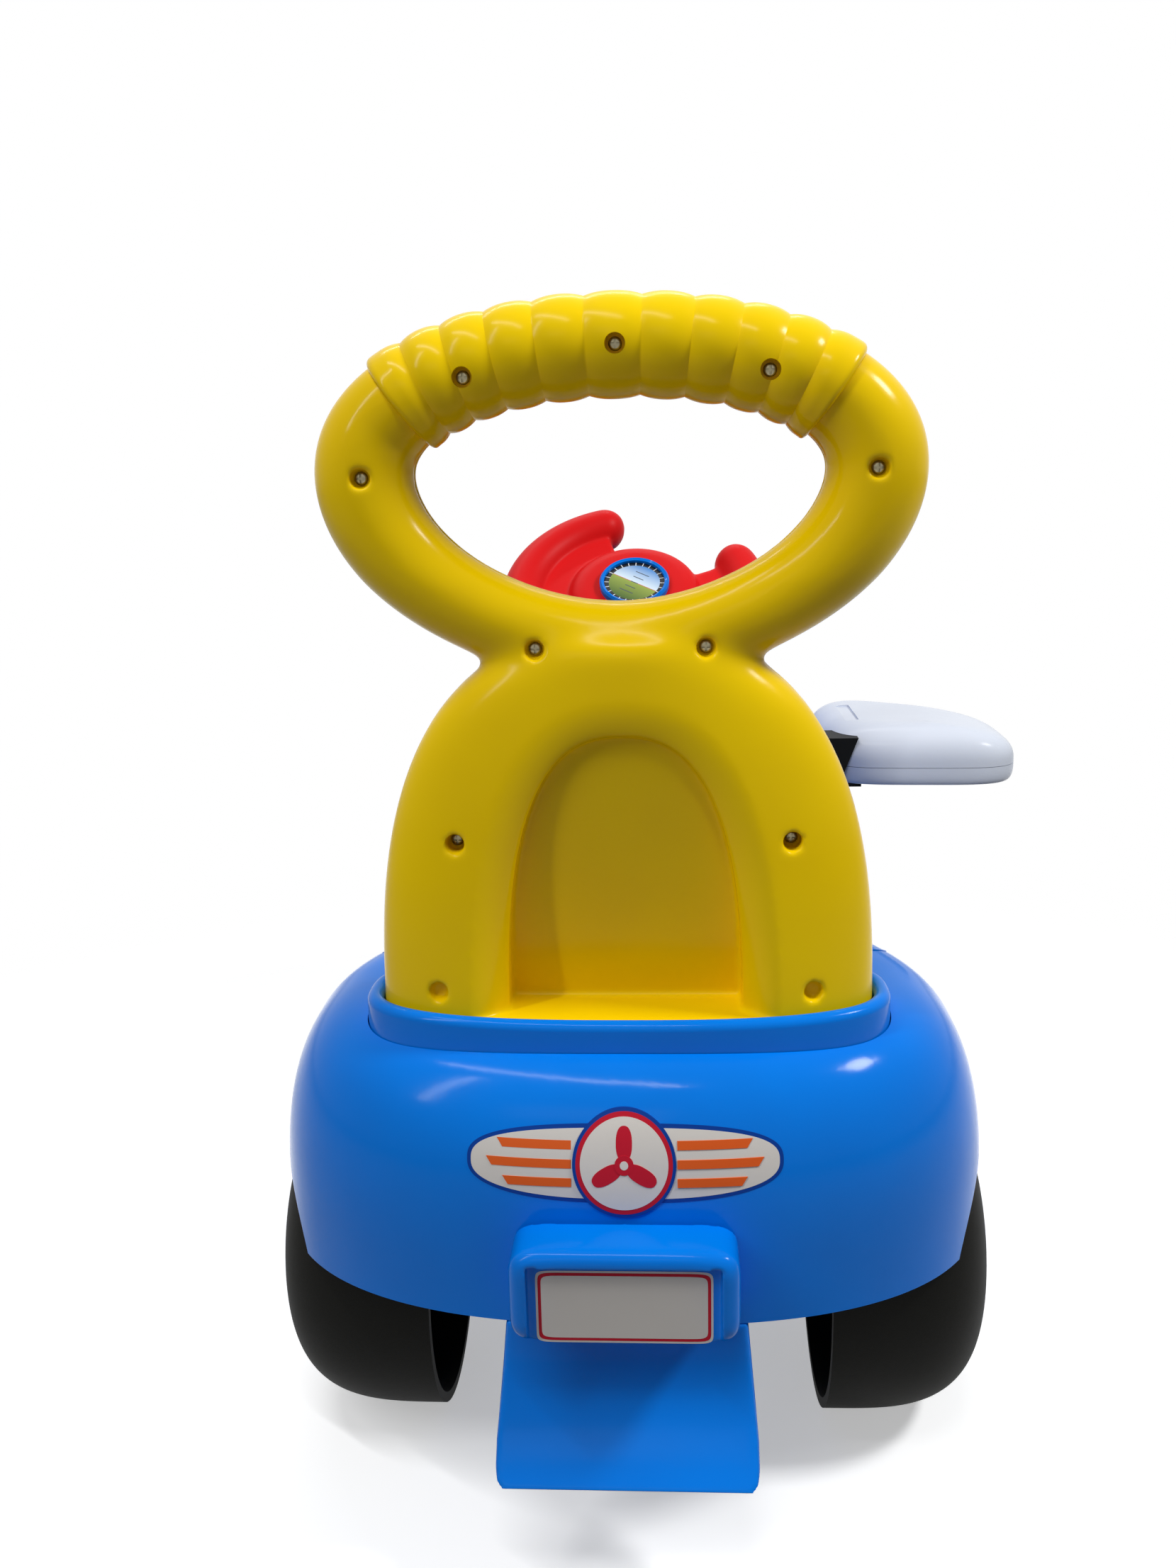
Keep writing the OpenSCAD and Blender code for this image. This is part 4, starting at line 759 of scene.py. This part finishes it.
# %% Join the form, soften its neck, and part it into two shells
NECK_Z, NECK_REACH, NECK_PASSES = 334, 24, 110
HALF_GAP, SHELL_LOW, SHELL_TOP, SHELL_REAR, SHELL_FRONT = 0.1, 100, 500, -150, 50
REAR = ((-FAR, SHELL_REAR, SHELL_LOW), (FAR, BACK_Y - HALF_GAP, SHELL_TOP))
FRONT = ((-FAR, BACK_Y + HALF_GAP, SHELL_LOW), (FAR, SHELL_FRONT, SHELL_TOP))


def neck(place):
    """1 where the back meets the ring, 0 on the grip and low on the back."""
    return np.clip(1 - np.abs(place[:, 2] - NECK_Z) / NECK_REACH, 0, 1)


form = soften(carve(back_form(), [ring_form()], "UNION"), voxel_mm=1.0, passes=2)
relax(form, NECK_PASSES, neck)


def shell(name, keep):
    """The half of the form inside a box."""
    return carve(show(name, form.data.copy()), [block(*keep)], "INTERSECT")


rear_half = shell("backrest_rear_skin", REAR)
carve(rear_half, [niche_tool()] + holes(ON_SIDES + BACK_SCREWS + BLIND))
soften(rear_half, voxel_mm=0.9, passes=6)
carve(rear_half, [carve(grip_sleeve(), [block(*REAR)], "INTERSECT")], "UNION")
carve(rear_half, holes(ON_GRIP))
dress(rear_half, YELLOW, "backrest_rear_shell")
front_half = soften(shell("backrest_front_skin", FRONT), voxel_mm=1.0, passes=5)
carve(front_half, [carve(grip_sleeve(), [block(*FRONT)], "INTERSECT")], "UNION")
dress(front_half, YELLOW, "backrest_front_shell")
bpy.data.objects.remove(form)

# %% [markdown]
# ## Screws
# Small pan-head screws hold the halves together. A flat disc would do from afar, but the cross in the head
# catches the light up close, so each head is lofted and two bars cut its cross.

# %% Drive the screws
# Radius, and distance from the hole's floor
HEAD = ((1.5, -1.8), (2.1, -1.5), (2.4, -1.0), (2.4, 0.0), (1.5, 0.0), (1.5, 15.0), (1.0, 16.0))
CROSS_W, CROSS_L, CROSS_D = 0.42, 1.6, 1.2


def screw(x, seat_y, z):
    """A pan head with a cross in it, on a short shank, seated in its hole."""
    f = around(40)
    circle = np.column_stack([np.cos(f), np.sin(f)])
    top = seat_y + HEAD[0][1]
    bars = [block((x - a, top - 1, z - b), (x + a, top + CROSS_D, z + b))
            for a, b in ((CROSS_W, CROSS_L), (CROSS_L, CROSS_W))]
    return carve(mesh_piece("tool", [upright(r * circle + (x, z), seat_y + y) for r, y in HEAD]), bars)


for node, places in (("handle_screws", HANDLE_SCREWS), ("backrest_screws", BACK_SCREWS)):
    screws = carve(screw(*places[0]), [screw(*at) for at in places[1:]], "UNION")
    screws.name = node + "_skin"
    dress(screws, SCREW_STEEL, node)

# %% [markdown]
# ## The tail
# A block with a shallow plate recess sits on the rear wall, and a flared foot below it stops the toy tipping
# back. Both are drawn from their outlines, cut, and softened so their edges catch a thin highlight.

# %% Shape the plate block
BLOCK_W, BLOCK_LOW, BLOCK_TOP, BLOCK_Y = 40.5, 98.0, 135.0, -126.0
BLOCK_ROUND, BLOCK_DEPTH, BLOCK_N = 5.0, 27, 6
PLATE_W, PLATE_TOP, PLATE_Y = 34.0, 129.0, -122.0
BEHIND, BELOW, OVER, WALL_FIT = -140, 90, 160, -0.05


def block_ring(inset, forward):
    half_h = (BLOCK_TOP - BLOCK_LOW) / 2
    loop = both_sides(sweep(BLOCK_W - inset, half_h - inset, BLOCK_N, 0, 180, 96))
    return upright(loop + (0, BLOCK_LOW + half_h), BLOCK_Y + forward)


edge = [(BLOCK_ROUND * (1 - math.sin(a)), BLOCK_ROUND * (1 - math.cos(a))) for a in quarter(8)]
plate_block = mesh_piece("plate_block_skin", [block_ring(i, f) for i, f in edge + [(0, BLOCK_DEPTH)]])
carve(plate_block, [block((-PLATE_W, BEHIND, BELOW), (PLATE_W, PLATE_Y, PLATE_TOP)),
                    prism(body_outline(WALL_FIT), BELOW, OVER)])
soften(plate_block, voxel_mm=0.6, passes=5)
dress(plate_block, BLUE, "plate_block")

# %% Bend the tail foot
FOOT_HALF, FOOT_Y, FOOT_FLARE, FOOT_LOW, FOOT_T, FOOT_CORNER = 47.6, -104.0, 26.0, 42.5, 10.0, 4.5
FLANGE_Y, FLANGE_Z, FOOT_STEPS = -62, RIM_Z - 5, 48
FOOT_TAPER, TAPER_FROM = 0.07, FOOT_LOW + 12

share = np.linspace(0, 1, FOOT_STEPS)
rear = np.column_stack([FOOT_Y - FOOT_FLARE * share**2, RIM_Z - (RIM_Z - FOOT_LOW) * share])
front = (rear + np.column_stack([np.full(FOOT_STEPS, FOOT_T), FOOT_T * share / 3]))[:0:-1]
flange = [(FOOT_Y + FOOT_T, FLANGE_Z), (FLANGE_Y, FLANGE_Z), (FLANGE_Y, RIM_Z)]
profile = np.concatenate([rear, front, flange])
sides = [np.column_stack([np.full(len(profile), x), profile]) for x in (-FOOT_HALF, FOOT_HALF)]
foot = mesh_piece("tail_foot_skin", sides)
bend = [(FOOT_HALF - FOOT_CORNER * (1 - math.sin(a)), FOOT_LOW + FOOT_CORNER * (1 - math.cos(a)))
        for a in quarter(12)]
rear_view = np.array(bend + [(FOOT_HALF, RIM_Z), (-FOOT_HALF, RIM_Z)] + [(-x, z) for x, z in bend[::-1]])
carve(foot, [mesh_piece("tool", [upright(rear_view, y) for y in (-FAR, 0)])], "INTERSECT")
soften(foot, voxel_mm=0.9, passes=8)
for corner in foot.data.vertices:
    up = (corner.co.z / MM - TAPER_FROM) / (RIM_Z - TAPER_FROM)
    corner.co.x *= 1 - FOOT_TAPER * min(1.0, max(0.0, up))
dress(foot, BLUE, "tail_foot")

# %% [markdown]
# ## Wheels
# The rear wheels are blow-moulded: a domed outer side in one curve with the tread, open and hollow on the
# inside. They are turned forms, so a lathe profile is enough, with a shallow grain in the finish.

# %% Turn the wheels
WHEEL_IN, WHEEL_W, WHEEL_N, WHEEL_WALL = 79.0, 68.0, 3.5, 4
AXLE_R, TUBE_OUT, TUBE_LEN = 5.05, 15, 49
INNER_SHARE, OUTER_SHARE = 0.78, 0.985  # where the dome ends inside and outside
CAP_R, CAP_DEPTH, CAP_DOME, CAP_RIM, CAP_FIT, CAP_EYE = 22.0, 6.0, 3.0, 3, 0.05, 0.5
SEAT_LIP, DOME_END = 0.3, math.pi / 2 - 0.05


def lathe(name, profile, centre, side, steps=160):
    """A turned form about X, from a closed profile of radius and distance outward."""
    x, y, z = centre
    rings = []
    for a in around(steps):
        c, s = math.cos(a), math.sin(a)
        rings.append(np.array([(side * (x + h), y + r * c, z + r * s) for r, h in profile]))
    return mesh_piece(name, rings, ends=False)


def domed(off, last, steps=60):
    """The tread and the dome in one curve, as far as a share of the wheel's width."""
    points = [((WHEEL_R - off) * math.cos(a) ** (2 / WHEEL_N), (WHEEL_W - off) * math.sin(a) ** (2 / WHEEL_N))
              for a in quarter(steps)[:-1]]
    return [p for p in points if p[1] <= last * (WHEEL_W - off)]


axle_tube = [(AXLE_R, 0), (TUBE_OUT, 0), (TUBE_OUT, TUBE_LEN)]
cap_seat = [(CAP_R, WHEEL_W - SEAT_LIP), (CAP_R, WHEEL_W - CAP_DEPTH), (AXLE_R, WHEEL_W - CAP_DEPTH)]
wheel_profile = axle_tube + domed(WHEEL_WALL, INNER_SHARE)[::-1] + domed(0, OUTER_SHARE) + cap_seat
dome = [((CAP_R - CAP_FIT) * math.cos(a), CAP_RIM + CAP_DOME * math.sin(a))
        for a in np.linspace(0, DOME_END, 24)]
cap_inside = [(CAP_EYE, CAP_RIM), (CAP_R - CAP_RIM, CAP_RIM), (CAP_R - CAP_RIM, 0)]
cap_profile = [(CAP_R - CAP_FIT, 0)] + dome + cap_inside
for side, name in ((-1, "left"), (1, "right")):
    wheel = lathe(f"rear_wheel_{name}_skin", wheel_profile, (WHEEL_IN, 0, WHEEL_R), side)
    dress(wheel, BLACK, f"rear_wheel_{name}")
    cap = lathe(f"hub_cap_{name}_skin", cap_profile, (WHEEL_IN + WHEEL_W - CAP_DEPTH, 0, WHEEL_R), side)
    dress(cap, YELLOW, f"hub_cap_{name}")

# %% [markdown]
# ## Wings
# Each wing is two white cups with a seam line between them. The upper one is deep with a rolled edge, and
# the lower one is shallow. The left wing is folded down at rest, so it is drawn flat and then turned about
# its hinge.

# %% Draw the wing's outline
WING_ROOT, WING_TIP, WING_Y, HALF_CHORD, TAPER, SWEEP, WING_N = 109.5, 226.0, 318.0, 56.0, 0.2, 14.0, 4
TIP_SHARE = 1.2  # how much more the faces come in towards the tip
FITTING = np.array([(100, 203), (117.2, 203), (130.6, 237.05), (100, 237.05)])
FITTING_Y = (240, 294.05)
HINGE, FOLD = Vector((103, 0, 211)), math.radians(88)


def wing_outline(inset):
    unit = both_sides(sweep(1, 1, WING_N, 0, 180, 60))
    u, v = unit[:, 0], unit[:, 1]
    middle, half = (WING_ROOT + WING_TIP) / 2, (WING_TIP - WING_ROOT) / 2
    drawn_in = inset * np.where(u > 0, 1 + TIP_SHARE * u, 1)
    chord = HALF_CHORD * (1 - TAPER * u) - inset
    return np.column_stack([middle + (half - drawn_in) * u, WING_Y - SWEEP * u + chord * v])


def fitting_tool():
    """The room for the root fitting, whose outer end is slanted."""
    return mesh_piece("tool", [upright(FITTING, y) for y in FITTING_Y])


def hang(obj, side):
    """Move a wing piece, drawn on the right, to its side and fold."""
    if side < 0:
        fold = (Matrix.Translation(HINGE * MM) @ Matrix.Rotation(FOLD, 4, "Y")
                @ Matrix.Translation(-HINGE * MM))
        obj.data.transform(Matrix.Scale(-1, 4, (1, 0, 0)) @ fold)
        obj.data.flip_normals()
    return obj


# %% Loft the wings
WING_LOW, WING_SEAM, WING_TOP, WING_WALL, SEAM_HALF, SEAM_EDGE = 209.0, 219.5, 243.0, 2.2, 0.15, 1.5
LOWER_ROUND = 2.2
SLOT = ((126.5, 298, 241.9), (134.5, 350, 260))
for side, name in ((-1, "left"), (1, "right")):
    upper = cup(f"wing_upper_{name}_skin", wing_outline, WING_SEAM + SEAM_HALF, WING_SEAM + SEAM_EDGE,
                WING_TOP, HALF_CHORD / 2, WING_WALL)
    carve(upper, [fitting_tool(), block(*SLOT)])
    dress(hang(upper, side), WHITE, f"wing_upper_{name}")
    lower = cup(f"wing_lower_{name}_skin", wing_outline, SEAM_HALF, SEAM_EDGE, WING_SEAM - WING_LOW,
                LOWER_ROUND, WING_WALL)
    lower.data.transform(Matrix.Translation((0, 0, WING_SEAM * MM)) @ Matrix.Scale(-1, 4, (0, 0, 1)))
    lower.data.flip_normals()
    carve(lower, [fitting_tool()])
    dress(hang(lower, side), WHITE, f"wing_lower_{name}")

# %% [markdown]
# ## The yoke
# The yoke is an open wheel of red plastic with two horns. Its rim, web and hub are swept apart, joined, and
# softened into one moulding, which gives the dished hollows between them without modelling each fillet.

# %% Sweep the yoke
YOKE_R, RIM_R, YOKE_GAP, HUB_R, HUB_H, HUB_BACK, HUB_STEP, WEB = 61.5, 12.0, 82.0, 35.0, 10.0, 16.0, 3, 4.0
YOKE_TURN, BALL_END, HUB_EYE = math.radians(24), 0.999, 0.5
ON_COLUMN = (Matrix.Translation(YOKE * MM) @ Matrix.Rotation(LEAN, 4, "X")
             @ Matrix.Rotation(-YOKE_TURN, 4, "Z"))


def arc_rings(section, first, last, steps):
    """A section of radius and height carried round the column from one angle to another."""
    rings = []
    for a in np.radians(np.linspace(first, last, steps + 1)):
        rings.append(np.array([(r * math.cos(a), r * math.sin(a), h) for r, h in section]))
    return rings


def rim_section(grow):
    return [(YOKE_R + RIM_R * grow * math.cos(f), RIM_R * grow * math.sin(f)) for f in around(40)]


def horn(angle, shares):
    """Rings of the half ball that closes an end of the rim."""
    rings = []
    for s in shares:
        at = angle + s * math.degrees(RIM_R / YOKE_R)
        rings += arc_rings(rim_section(math.sqrt(1 - s * s)), at, at, 0)
    return rings


first, last = 90 + YOKE_GAP / 2, 450 - YOKE_GAP / 2
rim = arc_rings(rim_section(1), first, last, 200)[1:-1]
ends = horn(first, np.linspace(-BALL_END, 0, 12)), horn(last, np.linspace(0, BALL_END, 12))
yoke = mesh_piece("yoke_skin", ends[0] + rim + ends[1])
web_in = HUB_R - RIM_R
web_side = [(web_in, WEB), (YOKE_R, WEB), (YOKE_R, -WEB), (web_in, -WEB)]
hub_edge = [(HUB_R - HUB_H * (1 - math.cos(a)), HUB_H / 2 + HUB_H / 2 * math.sin(a)) for a in quarter(8)]
hub_back = [(HUB_R, 0), (HUB_R - HUB_STEP, 0), (HUB_R - HUB_STEP, -HUB_BACK), (HUB_EYE, -HUB_BACK)]
hub_side = [(HUB_EYE, HUB_H)] + hub_edge[::-1] + hub_back
carve(yoke, [mesh_piece("tool", arc_rings(web_side, first, last, 160)),
             mesh_piece("tool", arc_rings(hub_side, 0, 360, 120)[:-1], ends=False)], "UNION")
soften(yoke, voxel_mm=0.9, passes=12)
yoke.data.transform(ON_COLUMN)
dress(yoke, RED, "yoke_front", "yoke_back")

# %% [markdown]
# ## The dial
# In the hub sits a printed artificial horizon: sky, ground, a ladder, and a ring of ticks. A picture would
# do, but a few sums on the place within the dial draw it as sharply at any size.

# %% Measure on the dial's face
dial, tree, place = blank("printed_dial")
offset = add(tree, "ShaderNodeVectorMath", {"operation": "SUBTRACT"}, {0: place, 1: YOKE * MM})


def along(x, y):
    """Millimetres from the dial's middle in a direction on its face."""
    axis = (ON_COLUMN.to_3x3() @ Vector((x, y, 0))) / MM
    return add(tree, "ShaderNodeVectorMath", {"operation": "DOT_PRODUCT"},
               {0: offset.outputs[0], 1: axis}).outputs["Value"]


def number(operation, a, b=0.0):
    return calc(tree, operation, a, b)


def either(pick, no, yes):
    """One colour or another, as pick is 0 or 1."""
    return add(tree, "ShaderNodeMix", {"data_type": "RGBA"}, {0: pick, 6: no, 7: yes}).outputs[2]


# %% Print the dial
BANK = math.radians(9)
DIAL_HALF, SCALE_R, TICK_TURN, TICK_HALF = 14.0, 13.8, math.pi / 24, 0.014
RUNG_GAP, RUNG_HALF, RUNG_MIN, RUNG_GROWTH, LADDER_HALF = 2.0, 0.28, 2.2, 0.25, 8.6
u, v = along(math.cos(BANK), -math.sin(BANK)), along(math.sin(BANK), math.cos(BANK))
height = add(tree, "ShaderNodeMapRange", links={"Value": v, 1: -DIAL_HALF, 2: DIAL_HALF, 3: 0.0, 4: 1.0})
sky = add(tree, "ShaderNodeValToRGB", links={"Fac": height.outputs[0]})
for spot, code in ((0.49, "#8a9c3c"), (0.5, "#c23a30"), (0.515, "#cfdfea")):
    sky.color_ramp.elements.new(spot).color = linear(code)
sky.color_ramp.elements[0].color, sky.color_ramp.elements[-1].color = linear("#36560f"), linear("#2f7cc4")
rung = number("LESS_THAN", number("PINGPONG", v, RUNG_GAP), RUNG_HALF)
reach = number("ADD", RUNG_MIN, number("MULTIPLY", number("ABSOLUTE", v), RUNG_GROWTH))
short = number("LESS_THAN", number("ABSOLUTE", u), reach)
inside = number("LESS_THAN", number("ABSOLUTE", v), LADDER_HALF)
ladder = number("MULTIPLY", number("MULTIPLY", rung, short), inside)
face = either(ladder, sky.outputs["Color"], linear("#3c4650"))
radius = number("SQRT", number("ADD", number("MULTIPLY", u, u), number("MULTIPLY", v, v)))
tick = number("LESS_THAN", number("PINGPONG", number("ARCTAN2", v, u), TICK_TURN), TICK_HALF)
scale = either(tick, linear("#15181c"), linear("#e9ecec"))
whole = either(number("GREATER_THAN", radius, SCALE_R), face, scale)
print_gloss = add(tree, "ShaderNodeBsdfPrincipled", links={"Base Color": whole, "Roughness": 0.22})
cover(tree, print_gloss)
NODES["dial_face"].data.materials[0] = dial
print("dial drawn with", len(tree.nodes), "nodes")

# %% [markdown]
# ## Printed labels
# Two vinyl labels finish the tail: a badge on the rear wall and a plate in the recess. Both carry plain
# shapes only. Each shape is a thin closed sheet laid on the wall in steps from its middle outward, so it
# follows the wall's curve.

# %% Lay sheets on a wall
SHEET_RINGS, SHEET_FIRST, SHEET_STEP, SHEET_SINK = 12, 0.12, 0.06, 0.3


def rear_wall(x, z):
    """The body's rear face at a place seen from behind."""
    inset = body_in(z)
    share = 1 - abs(x / (REAR_W - inset)) ** PLAN_N
    return -(REAR_LEN - inset) * share ** (1 / PLAN_N)


def label(name, sheets, wall, node):
    """A printed label: sheets of (outline, ink), each laid a little over the one before."""
    points, faces, inks = [], [], []
    for over, (outline, ink) in enumerate(sheets):
        outline = np.asarray(outline, float)
        middle, base, size = outline.mean(axis=0), len(points), len(outline)
        proud = SHEET_FIRST + SHEET_STEP * over
        points.append((middle[0], wall(*middle) - proud, middle[1]))
        for s in np.linspace(0, 1, SHEET_RINGS + 1)[1:]:
            points += [(x, wall(x, z) - proud, z) for x, z in middle + s * (outline - middle)]
        points += [(x, wall(x, z) + SHEET_SINK, z) for x, z in [*outline, middle]]
        low = base + 1 + SHEET_RINGS * size
        faces += [(base, base + 1 + (i + 1) % size, base + 1 + i) for i in range(size)]
        faces += [(low + size, low + i, low + (i + 1) % size) for i in range(size)]
        for a in range(base + 1, low, size):
            b = a + size
            faces += [(a + i, a + (i + 1) % size, b + (i + 1) % size, b + i) for i in range(size)]
        inks += [ink] * (len(faces) - len(inks))
    mesh = bpy.data.meshes.new(name)
    mesh.from_pydata((np.array(points) * MM).tolist(), [], faces)
    obj = placed(name, mesh)
    skins = list(dict.fromkeys(inks))
    for skin in skins:
        mesh.materials.append(skin)
    mesh.polygons.foreach_set("material_index", [skins.index(ink) for ink in inks])
    mesh.polygons.foreach_set("use_smooth", [True] * len(faces))
    mesh.set_sharp_from_angle(angle=SHARP)
    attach(obj, BODY_OF[node])
    print(name, len(sheets), "sheets")
    return obj


# %% Lay the badge and the plate
PAPER = moulded("white_vinyl", "#d8d3cd", "#d0cbc5", 0.4, 0.02)
PRINT_RED = moulded("red_vinyl", "#c01f33", "#b81a2e", 0.4, 0.02)
PRINT_ORANGE = moulded("orange_vinyl", "#e0622a", "#d85a22", 0.4, 0.02)
PRINT_NAVY = moulded("navy_vinyl", "#0d3f97", "#0b388a", 0.35, 0.02)
BADGE_Z, BADGE_N, BLADE_N = 155.5, 2.6, 2.4
STRIPES, STRIPE_IN, STRIPE_HALF, STRIPE_SLANT = ((6.4, 46), (0, 50), (-6.4, 44)), 19, 1.5, 2
BLADE_ROOT, BLADE_TIP, BLADE_HALF = 1.5, 13, 2.9
PLATE_Z, PLATE_N = 112.3, 16


def oval(half_w, half_h, n, z):
    return both_sides(sweep(half_w, half_h, n, 0, 180, 90)) + (0, z)


def disc(radius):
    return oval(radius, radius, 2, BADGE_Z)


def blade(angle):
    """A propeller blade on the badge, turned to an angle."""
    half_h, middle = (BLADE_TIP - BLADE_ROOT) / 2, (BLADE_TIP + BLADE_ROOT) / 2
    loop = both_sides(sweep(BLADE_HALF, half_h, BLADE_N, 0, 180, 24)) + (0, middle)
    c, s = math.cos(angle), math.sin(angle)
    return loop @ np.array([(c, s), (-s, c)]) + (0, BADGE_Z)


def stripe(side, level, outer):
    """A stripe of the badge with a slanted end, in points close enough to follow the wall."""
    share, z = np.linspace(0, 1, 20), BADGE_Z + level
    under = [(side * (STRIPE_IN + s * (outer - STRIPE_SLANT - STRIPE_IN)), z - STRIPE_HALF) for s in share]
    return under + [(side * (STRIPE_IN + s * (outer - STRIPE_IN)), z + STRIPE_HALF) for s in share[::-1]]


badge = [(oval(57, 13.5, BADGE_N, BADGE_Z), PRINT_NAVY), (oval(55.6, 12.1, BADGE_N, BADGE_Z), PAPER)]
badge += [(stripe(side, level, outer), PRINT_ORANGE) for side in (-1, 1) for level, outer in STRIPES]
badge += [(disc(18.6), PRINT_NAVY), (disc(17.4), PRINT_RED), (disc(15.8), PAPER)]
badge += [(blade(math.radians(a)), PRINT_RED) for a in (0, 120, 240)]
badge += [(disc(3.4), PRINT_RED), (disc(1.5), PAPER)]
label("badge_label", badge, rear_wall, "body_shell")
plate = [(oval(half_w, half_h, PLATE_N, PLATE_Z), ink)
         for half_w, half_h, ink in ((31, 14, PAPER), (30.2, 13.2, PRINT_RED), (29.1, 12.1, PAPER))]
label("plate_label", plate, lambda x, z: PLATE_Y, "plate_block")
